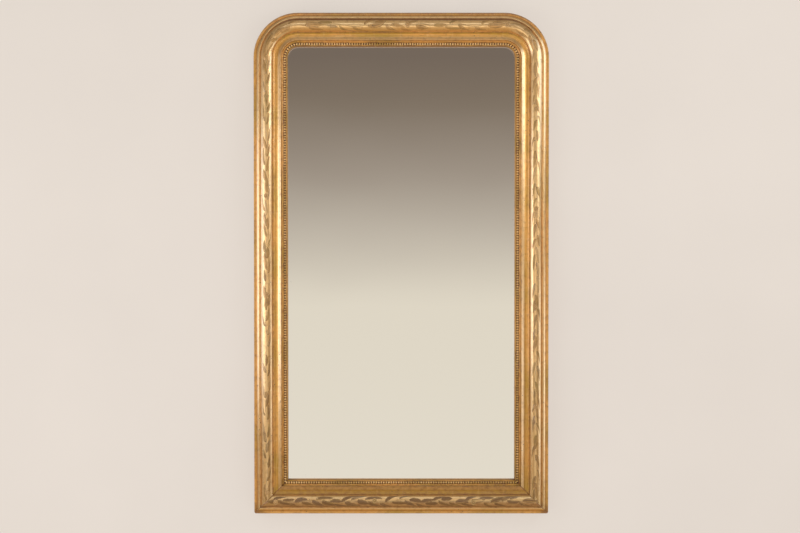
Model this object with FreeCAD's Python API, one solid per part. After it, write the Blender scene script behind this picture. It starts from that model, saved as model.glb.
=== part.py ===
import FreeCAD, Part
import math
import os

# A giltwood wall mirror with round shoulders and a square, mitred foot.
# Millimetres. The wall is the plane y = 0, the front looks along -Y, and z = 0 is the lower edge.

# Overall size
frame_width = 924.0
frame_height = 1570.0
sight_radius = 32.0

# Moulding section, from the outer edge to the sight
ledge_width = 5.5
ledge_height = 19.0
arris_chamfer = 1.0
torus_radius = 6.5
cove_radius = 4.5
cushion_heel = 3.5
cushion_width = 34.5
cushion_rise = 11.0
quirk_width = 2.2
quirk_depth = 3.5
ridge_width = 3.2
ridge_rise = 2.5
ridge_step = 1.5
hollow_radius = 9.0
hollow_start_angle = 60.0
ogee_angle = 42.0
roll_radius = 6.0
roll_quirk_width = 1.2
fillet_width = 2.5
fillet_rise = 3.6
fillet_groove_width = 2.0
fillet_groove_depth = 3.0
bead_bed_depth = 6.3
lip_width = 4.3
lip_rise = 4.0
lip_chamfer = 1.5

# Pearl-bead slip, glued into the bed beside the lip
bead_diameter = 7.0
slip_edge = 0.5
slip_thickness = 1.2
slip_clearance = 0.1

# Pine back frame, half-lapped at the corners and flush with the moulding at the foot
back_thickness = 34.0
back_inset = 3.0
rim_width = 55.0
recess_depth = 20.0
board_ledge_width = 30.0
peg_side = 8.0
peg_margin = 13.0
peg_clearance = 0.05

# Mirror plate and the blocks that hold it to the moulding
plate_thickness = 4.0
plate_clearance = 2.0
block_length = 60.0
block_width = 10.0
blocks_per_stile = 3
blocks_per_rail = 2

# Backboards, laid across and nailed to the ledge of the stiles
board_count = 6
board_thickness = 9.0
board_gap = 1.0
board_chamfer = 1.5
nail_side = 2.2
nail_length = 20.0
nail_head_side = 5.5
nail_head_height = 1.4
nail_margin = 45.0

# Hangers: a rolled strap on each side, with a ring that swings in its eye
strap_width = 16.0
strap_length = 52.0
strap_thickness = 1.6
ring_wire_radius = 2.0
ring_side_gap = 3.0
ring_corner_radius = 4.0
ring_leg = 4.0
ring_wall_gap = 2.0
eye_clearance = 0.05
eye_lift = 0.4
screw_radius = 1.8
screw_length = 18.0
screw_clearance = 0.05
first_screw_drop = 24.0
screw_pitch = 16.0

# Heights of the moulding section above its own back
cushion_foot = ledge_height + cove_radius + cushion_heel
cushion_crest = cushion_foot + cushion_rise
quirk_floor = cushion_foot - quirk_depth
ridge_top = quirk_floor + ridge_rise
hollow_start = ridge_top - ridge_step
ogee_cos = math.cos(math.radians(ogee_angle))
ogee_sin = math.sin(math.radians(ogee_angle))
start_cos = math.cos(math.radians(hollow_start_angle))
start_sin = math.sin(math.radians(hollow_start_angle))
hollow_floor = hollow_start - hollow_radius * (1.0 - start_cos)
roll_crest = hollow_floor + (hollow_radius + roll_radius) * (1.0 - ogee_cos)
roll_foot = roll_crest - roll_radius
fillet_top = roll_foot + fillet_rise
bed_floor = fillet_top - bead_bed_depth
lip_top = bed_floor + lip_rise

# Distances across the face, from the outer edge
bead_radius = bead_diameter / 2.0
slip_width = bead_diameter + 2.0 * slip_edge
bed_width = slip_width + 2.0 * slip_clearance
torus_end = ledge_width + 2.0 * torus_radius
cushion_start = torus_end + cove_radius
cushion_end = cushion_start + cushion_width
ridge_start = cushion_end + quirk_width
hollow_edge = ridge_start + ridge_width
hollow_middle = hollow_edge + hollow_radius * start_sin
roll_middle = hollow_middle + (hollow_radius + roll_radius) * ogee_sin
roll_end = roll_middle + roll_radius
fillet_start = roll_end + roll_quirk_width
second_fillet = fillet_start + fillet_width + fillet_groove_width
bed_start = second_fillet + fillet_width
lip_start = bed_start + bed_width
face_width = lip_start + lip_width
shoulder_radius = face_width + sight_radius

# Distances in the back frame, from the outer edge
recess_edge = back_inset + rim_width
well_edge = recess_edge + board_ledge_width
lap_depth = back_thickness / 2.0
plate_edge = well_edge + plate_clearance
board_back = recess_depth - board_thickness
block_thickness = back_thickness - recess_depth - plate_thickness

# Places of the backboards and the hangers
recess_height = frame_height - 2.0 * recess_edge
board_pitch = (recess_height - board_gap) / board_count
board_width = board_pitch - board_gap
eye_radius = ring_wire_radius + eye_clearance
eye_outer_radius = eye_radius + strap_thickness
eye_height = eye_outer_radius + eye_lift
ring_half_width = strap_width / 2.0 + ring_side_gap + ring_wire_radius
hanger_inset = recess_edge + ring_wall_gap + ring_half_width + ring_wire_radius
hanger_x = frame_width / 2.0 - hanger_inset
hanger_board = board_count - 1
eye_y = eye_height - board_back
eye_z = recess_edge + board_gap + (hanger_board - 0.5) * board_pitch + strap_length / 2.0

# Room that a cutting tool reaches past the wood it cuts, and what counts as the same place
cut_margin = 5.0
same_place = 0.001

LEFT = -1
RIGHT = 1
SIDES = {"left": LEFT, "right": RIGHT}
OUTWARD = FreeCAD.Vector(0, -1, 0)
UP = FreeCAD.Vector(0, 0, 1)
BACKWARD = FreeCAD.Vector(0, 1, 0)
ACROSS = FreeCAD.Vector(1, 0, 0)


class Section:
    """A closed outline across a member: u from the frame's outer edge, v off the wall."""

    def __init__(self, u, v):
        self.start = (u, v)
        self.here = (u, v)
        self.runs = []

    def line(self, u, v):
        """Go straight to a point."""
        self.runs.append((self.here, (u, v)))
        self.here = (u, v)

    def arc(self, centre, radius, first, last):
        """Go round a centre, from one angle to another, in degrees from the u direction."""
        points = [self.here]
        for angle in ((first + last) / 2.0, last):
            turn = math.radians(angle)
            points.append((centre[0] + radius * math.cos(turn), centre[1] + radius * math.sin(turn)))
        self.runs.append(tuple(points))
        self.here = points[-1]

    def face(self, origin, inward):
        """Lay the outline down at a place, with u along the inward direction."""
        self.line(*self.start)
        edges = []
        for run in self.runs:
            points = [origin + inward * u + OUTWARD * v for u, v in run]
            if len(points) == 2:
                edges.append(Part.makeLine(points[0], points[1]))
            else:
                edges.append(Part.Arc(*points).toShape())
        return Part.Face(Part.Wire(edges))


def moulding_section():
    """The gilded moulding: torus, cove, broad cushion, ridge, ogee, fillets, bead bed and lip."""
    back = back_thickness
    section = Section(0.0, back)
    section.line(0.0, back + ledge_height - arris_chamfer)
    section.line(arris_chamfer, back + ledge_height)
    section.line(ledge_width, back + ledge_height)
    section.arc((ledge_width + torus_radius, back + ledge_height), torus_radius, 180, 0)
    section.arc((torus_end, back + ledge_height + cove_radius), cove_radius, 270, 360)
    section.line(cushion_start, back + cushion_foot)
    half = cushion_width / 2.0
    radius = (half**2 + cushion_rise**2) / (2.0 * cushion_rise)
    swing = math.degrees(math.asin(half / radius))
    centre = (cushion_start + half, back + cushion_crest - radius)
    section.arc(centre, radius, 90 + swing, 90 - swing)
    section.line(cushion_end, back + quirk_floor)
    section.line(ridge_start, back + quirk_floor)
    section.line(ridge_start, back + ridge_top)
    section.line(hollow_edge, back + ridge_top)
    section.line(hollow_edge, back + hollow_start)
    hollow = (hollow_middle, back + hollow_floor + hollow_radius)
    section.arc(hollow, hollow_radius, 270 - hollow_start_angle, 270 + ogee_angle)
    section.arc((roll_middle, back + roll_foot), roll_radius, 90 + ogee_angle, 0)
    section.line(fillet_start, back + roll_foot)
    section.line(fillet_start, back + fillet_top)
    section.line(fillet_start + fillet_width, back + fillet_top)
    section.line(fillet_start + fillet_width, back + fillet_top - fillet_groove_depth)
    section.line(second_fillet, back + fillet_top - fillet_groove_depth)
    section.line(second_fillet, back + fillet_top)
    section.line(bed_start, back + fillet_top)
    section.line(bed_start, back + bed_floor)
    section.line(lip_start, back + bed_floor)
    section.line(lip_start, back + lip_top)
    section.line(face_width - lip_chamfer, back + lip_top)
    section.line(face_width, back + lip_top - lip_chamfer)
    section.line(face_width, back)
    return section


def bead_section():
    """The bead slip: a thin strip with a half-round of the pearls' diameter."""
    floor = back_thickness + bed_floor
    near = bed_start + slip_clearance
    far = near + slip_width
    middle = (near + far) / 2.0
    section = Section(near, floor)
    section.line(near, floor + slip_thickness)
    section.line(middle - bead_radius, floor + slip_thickness)
    section.arc((middle, floor + slip_thickness), bead_radius, 180, 0)
    section.line(far, floor + slip_thickness)
    section.line(far, floor)
    return section


def plan_block(points, near, far):
    """A block with an outline in plan, given as x and z, between two heights off the wall."""
    corners = [FreeCAD.Vector(x, -near, z) for x, z in points]
    wire = Part.makePolygon(corners + corners[:1])
    return Part.Face(wire).extrude(OUTWARD * (far - near))


def mitre_wedge(side, of_rail):
    """The wood that the foot's mitre takes off a stile, or off the bottom rail."""
    outer = frame_width / 2.0 + cut_margin
    inner = frame_width / 2.0 - face_width - cut_margin
    top = face_width + cut_margin
    heel = (side * outer, -cut_margin)
    toe = (side * inner, top)
    third = (side * outer, top) if of_rail else (side * inner, -cut_margin)
    return plan_block([heel, toe, third], back_thickness - cut_margin, back_thickness + cushion_crest + cut_margin)


def stile_run(make_section, side):
    """A member along one side, mitred at the foot and square at the shoulder."""
    origin = FreeCAD.Vector(side * frame_width / 2.0, 0, 0)
    face = make_section().face(origin, ACROSS * -side)
    return face.extrude(UP * (frame_height - shoulder_radius)).cut(mitre_wedge(side, False))


def bottom_run(make_section):
    """A member along the foot, mitred at both ends."""
    face = make_section().face(FreeCAD.Vector(-frame_width / 2.0, 0, 0), UP)
    run = face.extrude(ACROSS * frame_width)
    return run.cut(mitre_wedge(LEFT, True)).cut(mitre_wedge(RIGHT, True))


def top_run(make_section):
    """A member along the top, square at both shoulders."""
    half = frame_width / 2.0 - shoulder_radius
    face = make_section().face(FreeCAD.Vector(-half, 0, frame_height), -UP)
    return face.extrude(ACROSS * (2.0 * half))


def shoulder_run(make_section, side):
    """A member turned through a quarter round at a shoulder."""
    height = frame_height - shoulder_radius
    face = make_section().face(FreeCAD.Vector(side * frame_width / 2.0, 0, height), ACROSS * -side)
    centre = FreeCAD.Vector(side * (frame_width / 2.0 - shoulder_radius), 0, height)
    return face.revolve(centre, BACKWARD * -side, 90)


def frame_box(left, right, low, high, near, far):
    """A box from x, z and height-off-the-wall limits."""
    corner = FreeCAD.Vector(left, -far, low)
    return Part.makeBox(right - left, far - near, high - low, corner)


def back_outline():
    """The back frame's outside, square at the foot and round at the shoulders."""
    half = frame_width / 2.0 - back_inset
    top = frame_height - back_inset
    radius = shoulder_radius - back_inset
    block = frame_box(-half, half, 0.0, top, 0.0, back_thickness)
    corners = [edge for edge in block.Edges if is_top_corner(edge, top)]
    return block.makeFillet(radius, corners)


def is_top_corner(edge, top):
    """Whether an edge runs from back to front at an upper corner."""
    ends = [vertex.Point for vertex in edge.Vertexes]
    at_top = all(abs(end.z - top) < same_place for end in ends)
    return at_top and abs(ends[0].x - ends[1].x) < same_place


def lap_boxes(near, far):
    """The four corner squares where the stiles and rails cross, between two heights off the wall."""
    half = frame_width / 2.0
    boxes = []
    for side in SIDES.values():
        outer = side * (half + cut_margin)
        inner = side * (half - well_edge)
        left, right = sorted((outer, inner))
        boxes.append(frame_box(left, right, -cut_margin, well_edge, near, far))
        boxes.append(frame_box(left, right, frame_height - well_edge, frame_height + cut_margin, near, far))
    return Part.makeCompound(boxes)


def board_recess():
    """The room for the backboards and hangers, sunk into the back frame."""
    half = frame_width / 2.0 - recess_edge
    top = frame_height - recess_edge
    return frame_box(-half, half, recess_edge, top, -cut_margin, recess_depth)


def peg_places():
    """Where the pegs go through the half-laps, as x and z."""
    near = recess_edge - peg_margin
    far = recess_edge + peg_margin
    places = []
    for side in SIDES.values():
        for across, along in ((near, far), (far, near)):
            x = side * (frame_width / 2.0 - across)
            places.append((x, along))
            places.append((x, frame_height - along))
    return places


def peg_group(side):
    """The whittled square pegs, or at the larger size their holes."""
    reach = side / 2.0
    pegs = []
    for x, z in peg_places():
        pegs.append(frame_box(x - reach, x + reach, z - reach, z + reach, 0.0, back_thickness))
    return Part.makeCompound(pegs)


def nail(x, z):
    """A cut nail with a low pyramid head, driven from the back of a board."""
    top = FreeCAD.Vector(x, -board_back, z)
    half = nail_side / 2.0
    shank = Part.makeBox(nail_side, nail_length, nail_side, top + FreeCAD.Vector(-half, -nail_length, -half))
    rims = []
    for side, height in ((nail_head_side, 0.0), (nail_side, nail_head_height)):
        reach = side / 2.0
        corners = []
        for across, up in ((-1, -1), (1, -1), (1, 1), (-1, 1)):
            corners.append(top + FreeCAD.Vector(across * reach, height, up * reach))
        rims.append(Part.makePolygon(corners + corners[:1]))
    return shank.fuse(Part.makeLoft(rims, True, True)).removeSplitter()


def board_bottom(index):
    """The lower edge of a backboard."""
    return recess_edge + board_gap + index * board_pitch


def nail_group():
    """Two nails at each end of each backboard, over the ledge of the stiles."""
    x = frame_width / 2.0 - recess_edge - board_ledge_width / 2.0
    nails = []
    for index in range(board_count):
        for z in (board_bottom(index) + nail_margin, board_bottom(index) + board_width - nail_margin):
            nails.append(nail(-x, z))
            nails.append(nail(x, z))
    return Part.makeCompound(nails)


def backboard(index):
    """One board, eased along its four back edges."""
    half = frame_width / 2.0 - recess_edge - board_gap
    bottom = board_bottom(index)
    board = frame_box(-half, half, bottom, bottom + board_width, board_back, recess_depth)
    back_edges = []
    for edge in board.Edges:
        if all(abs(vertex.Y + board_back) < same_place for vertex in edge.Vertexes):
            back_edges.append(edge)
    return board.makeChamfer(board_chamfer, back_edges)


def mirror_plate():
    """The silvered plate, square-cornered behind the moulding."""
    half = frame_width / 2.0 - plate_edge
    near = back_thickness - plate_thickness
    return frame_box(-half, half, plate_edge, frame_height - plate_edge, near, back_thickness)


def evenly_spread(length, count):
    """Centres of equal shares of a length."""
    return [length * (index + 0.5) / count for index in range(count)]


def glass_blocks():
    """Blocks round the well that press the plate against the moulding."""
    front = recess_depth + block_thickness
    half_width = frame_width / 2.0 - well_edge
    blocks = []
    for place in evenly_spread(frame_height - 2.0 * well_edge, blocks_per_stile):
        low = well_edge + place - block_length / 2.0
        high = low + block_length
        blocks.append(frame_box(-half_width, -half_width + block_width, low, high, recess_depth, front))
        blocks.append(frame_box(half_width - block_width, half_width, low, high, recess_depth, front))
    for place in evenly_spread(2.0 * half_width, blocks_per_rail):
        left = place - half_width - block_length / 2.0
        right = left + block_length
        foot = well_edge + block_width
        head = frame_height - well_edge
        blocks.append(frame_box(left, right, well_edge, foot, recess_depth, front))
        blocks.append(frame_box(left, right, head - block_width, head, recess_depth, front))
    return Part.makeCompound(blocks)


def screw(x, z, radius):
    """A countersunk wood screw, or at the larger radius its hole; its head fills the strap's thickness."""
    head_radius = radius + strap_thickness
    face = -board_back + strap_thickness
    tip = screw_length - strap_thickness - radius
    points = [(0.0, face), (head_radius, face), (radius, -board_back), (radius, -board_back - tip)]
    points.append((0.0, -board_back - tip - radius))
    corners = [FreeCAD.Vector(x + across, y, z) for across, y in points]
    wire = Part.makePolygon(corners + corners[:1])
    return Part.Face(wire).revolve(corners[0], BACKWARD, 360)


def screw_group(radius):
    """Two screws in each strap, or at the larger radius their holes."""
    screws = []
    for side in SIDES.values():
        for drop in (first_screw_drop, first_screw_drop + screw_pitch):
            screws.append(screw(side * hanger_x, eye_z - drop, radius))
    return Part.makeCompound(screws)


def hanger_strap(side):
    """A strap with a round lower end, rolled into an eye at the top."""
    x = side * hanger_x
    half = strap_width / 2.0
    foot = eye_z - strap_length + half
    tail = frame_box(x - half, x + half, foot, eye_z, board_back - strap_thickness, board_back)
    end = Part.makeCylinder(half, strap_thickness, FreeCAD.Vector(x, -board_back, foot), BACKWARD)
    axle = FreeCAD.Vector(x - half, eye_y, eye_z)
    roll = Part.makeCylinder(eye_outer_radius, strap_width, axle, ACROSS)
    bore = Part.makeCylinder(eye_radius, strap_width, axle, ACROSS)
    strap = tail.multiFuse([end, roll]).removeSplitter()
    return strap.cut(bore)


def hanger_ring(side):
    """A D-shaped ring of round wire, hanging straight down from its bar."""
    axle = FreeCAD.Vector(side * hanger_x, eye_y, eye_z)
    half = ring_half_width
    corner = ring_corner_radius
    bend = corner * (1.0 - math.sqrt(0.5))
    foot = -corner - ring_leg

    def at(x, z):
        return axle + FreeCAD.Vector(x, 0, z)

    edges = [
        Part.makeLine(at(0, 0), at(half - corner, 0)),
        Part.Arc(at(half - corner, 0), at(half - bend, -bend), at(half, -corner)).toShape(),
        Part.makeLine(at(half, -corner), at(half, foot)),
        Part.Arc(at(half, foot), at(0, foot - half), at(-half, foot)).toShape(),
        Part.makeLine(at(-half, foot), at(-half, -corner)),
        Part.Arc(at(-half, -corner), at(bend - half, -bend), at(corner - half, 0)).toShape(),
        Part.makeLine(at(corner - half, 0), at(0, 0)),
    ]
    wire_end = Part.Wire(Part.makeCircle(ring_wire_radius, axle, ACROSS))
    return Part.Wire(edges).makePipeShell([wire_end], True, False)


nodes = {}

# Gilded moulding, and the bead slips, of which the top one is bent round both shoulders
for side_name, side in SIDES.items():
    nodes[f"moulding_{side_name}"] = stile_run(moulding_section, side)
    nodes[f"shoulder_{side_name}"] = shoulder_run(moulding_section, side)
    nodes[f"bead_slip_{side_name}"] = stile_run(bead_section, side)
nodes["moulding_top"] = top_run(moulding_section)
nodes["moulding_bottom"] = bottom_run(moulding_section)
bent_ends = [shoulder_run(bead_section, side) for side in SIDES.values()]
nodes["bead_slip_top"] = top_run(bead_section).multiFuse(bent_ends).removeSplitter()
nodes["bead_slip_bottom"] = bottom_run(bead_section)

# Back frame: stiles keep the front half of each lap, rails the back half
outline = back_outline()
peg_holes = peg_group(peg_side + 2.0 * peg_clearance)
nails = nail_group()
screw_holes = screw_group(screw_radius + screw_clearance)
half_width = frame_width / 2.0
for side_name, side in SIDES.items():
    left, right = sorted((side * half_width, side * (half_width - well_edge)))
    bar = frame_box(left, right, 0.0, frame_height, 0.0, back_thickness).common(outline)
    bar = bar.cut([lap_boxes(-cut_margin, lap_depth), board_recess(), peg_holes])
    nodes[f"back_stile_{side_name}"] = bar.cut([nails, screw_holes])
for rail_name, low in (("bottom", 0.0), ("top", frame_height - well_edge)):
    bar = frame_box(-half_width, half_width, low, low + well_edge, 0.0, back_thickness).common(outline)
    bar = bar.cut([lap_boxes(lap_depth, back_thickness + cut_margin), board_recess(), peg_holes])
    nodes[f"back_rail_{rail_name}"] = bar
nodes["lap_pegs"] = peg_group(peg_side)

# Plate, blocks and backboards
nodes["mirror_plate"] = mirror_plate()
nodes["glass_blocks"] = glass_blocks()
for index in range(board_count):
    nodes[f"backboard_{index + 1}"] = backboard(index).cut([nails, screw_holes])
nodes["backboard_nails"] = nails

# Hangers
for side_name, side in SIDES.items():
    nodes[f"hanger_strap_{side_name}"] = hanger_strap(side).cut(screw_holes)
    nodes[f"hanger_ring_{side_name}"] = hanger_ring(side)
nodes["hanger_screws"] = screw_group(screw_radius)

os.makedirs("parts", exist_ok=True)
for name, shape in nodes.items():
    shape.exportStep(f"parts/{name}.step")
    print(f"{name}: {len(shape.Solids)} solids, {shape.Volume:.0f} mm3, valid {shape.isValid()}")
print(f"face {face_width:.2f}, shoulder {shoulder_radius:.2f}, depth {back_thickness + cushion_crest:.2f}")
print(f"ring axis x {hanger_x:.3f}, y {eye_y:.3f}, z {eye_z:.3f}")
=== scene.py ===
"""A giltwood wall mirror with round shoulders and a square, mitred foot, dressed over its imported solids.

The gilded members are run again from their section at a finer grain, with cut foliage on the cushion and
single pearls in the bead bed. The plate, back frame, boards and hangers keep their solids and get finishes.
Metres. The wall is the plane y = 0, the front looks along -Y, and z = 0 is the lower edge.
"""
import logging
import math
from abc import ABC, abstractmethod
from dataclasses import dataclass, field
from enum import Enum

import bpy
import numpy as np
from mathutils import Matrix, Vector


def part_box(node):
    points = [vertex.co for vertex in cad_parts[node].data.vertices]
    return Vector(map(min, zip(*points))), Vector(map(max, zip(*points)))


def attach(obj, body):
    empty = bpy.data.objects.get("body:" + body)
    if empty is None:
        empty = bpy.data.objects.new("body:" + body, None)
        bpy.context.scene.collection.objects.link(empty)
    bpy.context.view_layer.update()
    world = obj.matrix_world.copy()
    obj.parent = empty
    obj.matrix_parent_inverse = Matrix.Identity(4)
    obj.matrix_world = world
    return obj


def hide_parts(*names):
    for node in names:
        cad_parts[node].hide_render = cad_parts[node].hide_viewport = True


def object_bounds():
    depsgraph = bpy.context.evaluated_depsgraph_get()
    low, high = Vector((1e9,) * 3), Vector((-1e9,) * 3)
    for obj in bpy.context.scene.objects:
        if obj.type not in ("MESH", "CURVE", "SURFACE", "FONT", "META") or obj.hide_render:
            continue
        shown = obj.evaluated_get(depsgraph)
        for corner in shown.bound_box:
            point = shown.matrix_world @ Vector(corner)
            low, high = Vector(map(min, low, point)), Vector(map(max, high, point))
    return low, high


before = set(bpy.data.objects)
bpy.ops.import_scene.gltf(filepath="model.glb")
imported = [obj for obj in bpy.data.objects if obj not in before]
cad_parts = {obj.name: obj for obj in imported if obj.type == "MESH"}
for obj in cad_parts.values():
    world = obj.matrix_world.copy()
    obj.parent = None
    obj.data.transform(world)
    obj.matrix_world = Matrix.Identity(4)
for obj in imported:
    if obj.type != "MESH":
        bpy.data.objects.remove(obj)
cad_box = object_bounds()

Array = np.ndarray
Material = bpy.types.Material
Node = bpy.types.Node
Piece = bpy.types.Object
Tree = bpy.types.NodeTree
Span = tuple[float, float]
Place = tuple[float, float, float]

MM = 0.001
TURN = 2.0 * math.pi
QUARTER = math.pi / 2.0
ROOT_TWO = math.sqrt(2.0)
FRAME_BODY = "mirror_frame"
log = logging.getLogger("giltwood_mirror")


class Grain(Enum):
    """The direction that a piece of wood's grain runs in: along, across and through the piece."""

    ALONG_X = ("X", "Z", "Y")
    ALONG_Z = ("Z", "X", "Y")
    ALONG_Y = ("Y", "X", "Z")


class Mark(Enum):
    """The values that a gilded surface carries for its finish, painted shade and painted highlight among
    them.
    """

    ALONG = "along"
    ACROSS = "across"
    RECESS = "recess"
    ARRIS = "arris"
    BURNISH = "burnish"
    SOIL = "soil"


def linear(hex_colour: str) -> tuple[float, float, float, float]:
    """Turn an sRGB hex colour into linear red, green and blue, and an alpha of one.

    Args:
        hex_colour: Six hex digits after a hash sign.

    Returns:
        Red, green, blue and an alpha of one.
    """
    parts = [int(hex_colour[i : i + 2], 16) / 255.0 for i in (1, 3, 5)]
    light = [p / 12.92 if p <= 0.04045 else ((p + 0.055) / 1.055) ** 2.4 for p in parts]
    return (light[0], light[1], light[2], 1.0)


def polar(centre: Span, reach: float, bearing: float) -> Span:
    """The point at a reach from a centre, on a bearing in degrees from the u direction."""
    angle = math.radians(bearing)
    return (centre[0] + reach * math.cos(angle), centre[1] + reach * math.sin(angle))


def banded(distance: Array, *bands: Span) -> Array:
    """A value at each distance, drawn straight from one band's distance and value to the next."""
    return np.interp(distance, *zip(*bands))


def add_node(tree: Tree, kind: str, inputs: dict | None = None, **settings: object) -> Node:
    """Add a shader node with its settings and links.

    Args:
        tree: The node tree that gets the node.
        kind: The node's type, without its common prefix.
        inputs: What goes into its sockets, by name or index: a node, a socket or a value.
        settings: The node's other properties.

    Returns:
        The new node.
    """
    node = tree.nodes.new(f"ShaderNode{kind}")
    for name, value in settings.items():
        setattr(node, name, value)
    for key, value in (inputs or {}).items():
        sockets = [s for s in node.inputs if s.enabled]
        socket = sockets[key] if isinstance(key, int) else next(s for s in sockets if s.name == key)
        if isinstance(value, Node):
            value = next(s for s in value.outputs if s.enabled)
        if isinstance(value, bpy.types.NodeSocket):
            tree.links.new(value, socket)
        else:
            socket.default_value = value
    return node


def deselect() -> None:
    """Leave nothing selected, in object mode."""
    bpy.ops.object.select_all(action="DESELECT")


def read_points(piece: Piece) -> Array:
    """Read a mesh's points as rows of x, y and z.

    Args:
        piece: The mesh object.

    Returns:
        Rows of x, y and z.
    """
    points = np.zeros(len(piece.data.vertices) * 3)
    piece.data.vertices.foreach_get("co", points)
    return points.reshape(-1, 3)


def write_points(piece: Piece, points: Array) -> None:
    """Put a mesh's points at new places, given as rows of x, y and z."""
    piece.data.vertices.foreach_set("co", points.ravel())
    piece.data.update()


def write_marks(piece: Piece, marks: dict[Mark, Array | float]) -> None:
    """Store values on a mesh under their marks' names: one for each point, or one for all.

    Args:
        piece: The mesh object.
        marks: One value for each point, or one for all, by mark.
    """
    attributes = piece.data.attributes
    for mark, values in marks.items():
        store = attributes.get(mark.value) or attributes.new(mark.value, "FLOAT", "POINT")
        store.data.foreach_set("value", np.full(len(piece.data.vertices), values, dtype=np.float32))


def copy_piece(blank: Piece) -> Piece:
    """Copy a piece together with its mesh.

    Args:
        blank: The piece that is copied.

    Returns:
        The copy, with a mesh of its own.
    """
    piece = blank.copy()
    piece.data = blank.data.copy()
    bpy.context.collection.objects.link(piece)
    return piece


def join_pieces(parts: list[Piece]) -> Piece:
    """Join several meshes into the first of them, and return it.

    Args:
        parts: The mesh objects, of which the first is kept.

    Returns:
        The joined object.
    """
    deselect()
    for part in parts:
        part.select_set(True)
    bpy.context.view_layer.objects.active = parts[0]
    bpy.ops.object.join()
    return parts[0]


def close_and_smooth(piece: Piece, angle: float, fill: bool = True) -> None:
    """Fill a mesh's open rims, turn its faces outwards and smooth what bends less than an angle.

    Args:
        piece: The mesh object.
        angle: The angle, in radians.
        fill: Whether open rims are filled.
    """
    deselect()
    piece.select_set(True)
    bpy.context.view_layer.objects.active = piece
    bpy.ops.object.mode_set(mode="EDIT")
    bpy.ops.mesh.select_all(action="SELECT")
    if fill:
        bpy.ops.mesh.fill_holes(sides=0)
        bpy.ops.mesh.select_all(action="SELECT")
    bpy.ops.mesh.normals_make_consistent(inside=False)
    bpy.ops.object.mode_set(mode="OBJECT")
    bpy.ops.object.shade_smooth_by_angle(angle=angle)


def seat_piece(piece: Piece, name: str, slot: str, material: Material, *nodes: str) -> None:
    """Name a new piece, give it its finish and let it ride on the frame in place of its solids.

    Args:
        piece: The mesh object, in its place.
        name: The piece's name.
        slot: The record's material slot; not used.
        material: The finish.
        nodes: The solids that the piece stands for.
    """
    piece.name = name
    piece.data.name = name
    piece.data.materials.clear()
    piece.data.materials.append(material)
    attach(piece, FRAME_BODY)
    if nodes:
        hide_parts(*nodes)
    log.info("%s: %d faces", name, len(piece.data.polygons))


def dress_nodes(material: Material, *nodes: str) -> None:
    """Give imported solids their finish.

    Args:
        material: The finish.
        nodes: The solids' names.
    """
    for node in nodes:
        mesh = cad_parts[node].data
        if not mesh.materials:
            mesh.materials.append(material)
        for index in range(len(mesh.materials)):
            mesh.materials[index] = material
        log.info("%s: keeps its solid, finished in %s", node, material.name)


@dataclass(frozen=True)
class Finish(ABC):
    """A surface finish, named for its real material."""

    name: str

    def material(self) -> Material:
        """Make the finish's material, with its nodes laid.

        Returns:
            The material.
        """
        made = bpy.data.materials.new(self.name)
        made.use_nodes = True
        tree = made.node_tree
        tree.nodes.clear()
        shader = add_node(tree, "BsdfPrincipled", self.look(tree))
        add_node(tree, "OutputMaterial", {"Surface": self.cover(tree, shader)})
        return made

    @abstractmethod
    def look(self, tree: Tree) -> dict[str, object]:
        """Lay the nodes that feed the shader, and return them by the shader's sockets.

        Args:
            tree: The material's node tree.

        Returns:
            What goes into the shader, by the names of its sockets.
        """

    def cover(self, tree: Tree, shader: Node) -> Node:
        """What the surface shows: the shader itself, unless a finish says otherwise."""
        return shader


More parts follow.
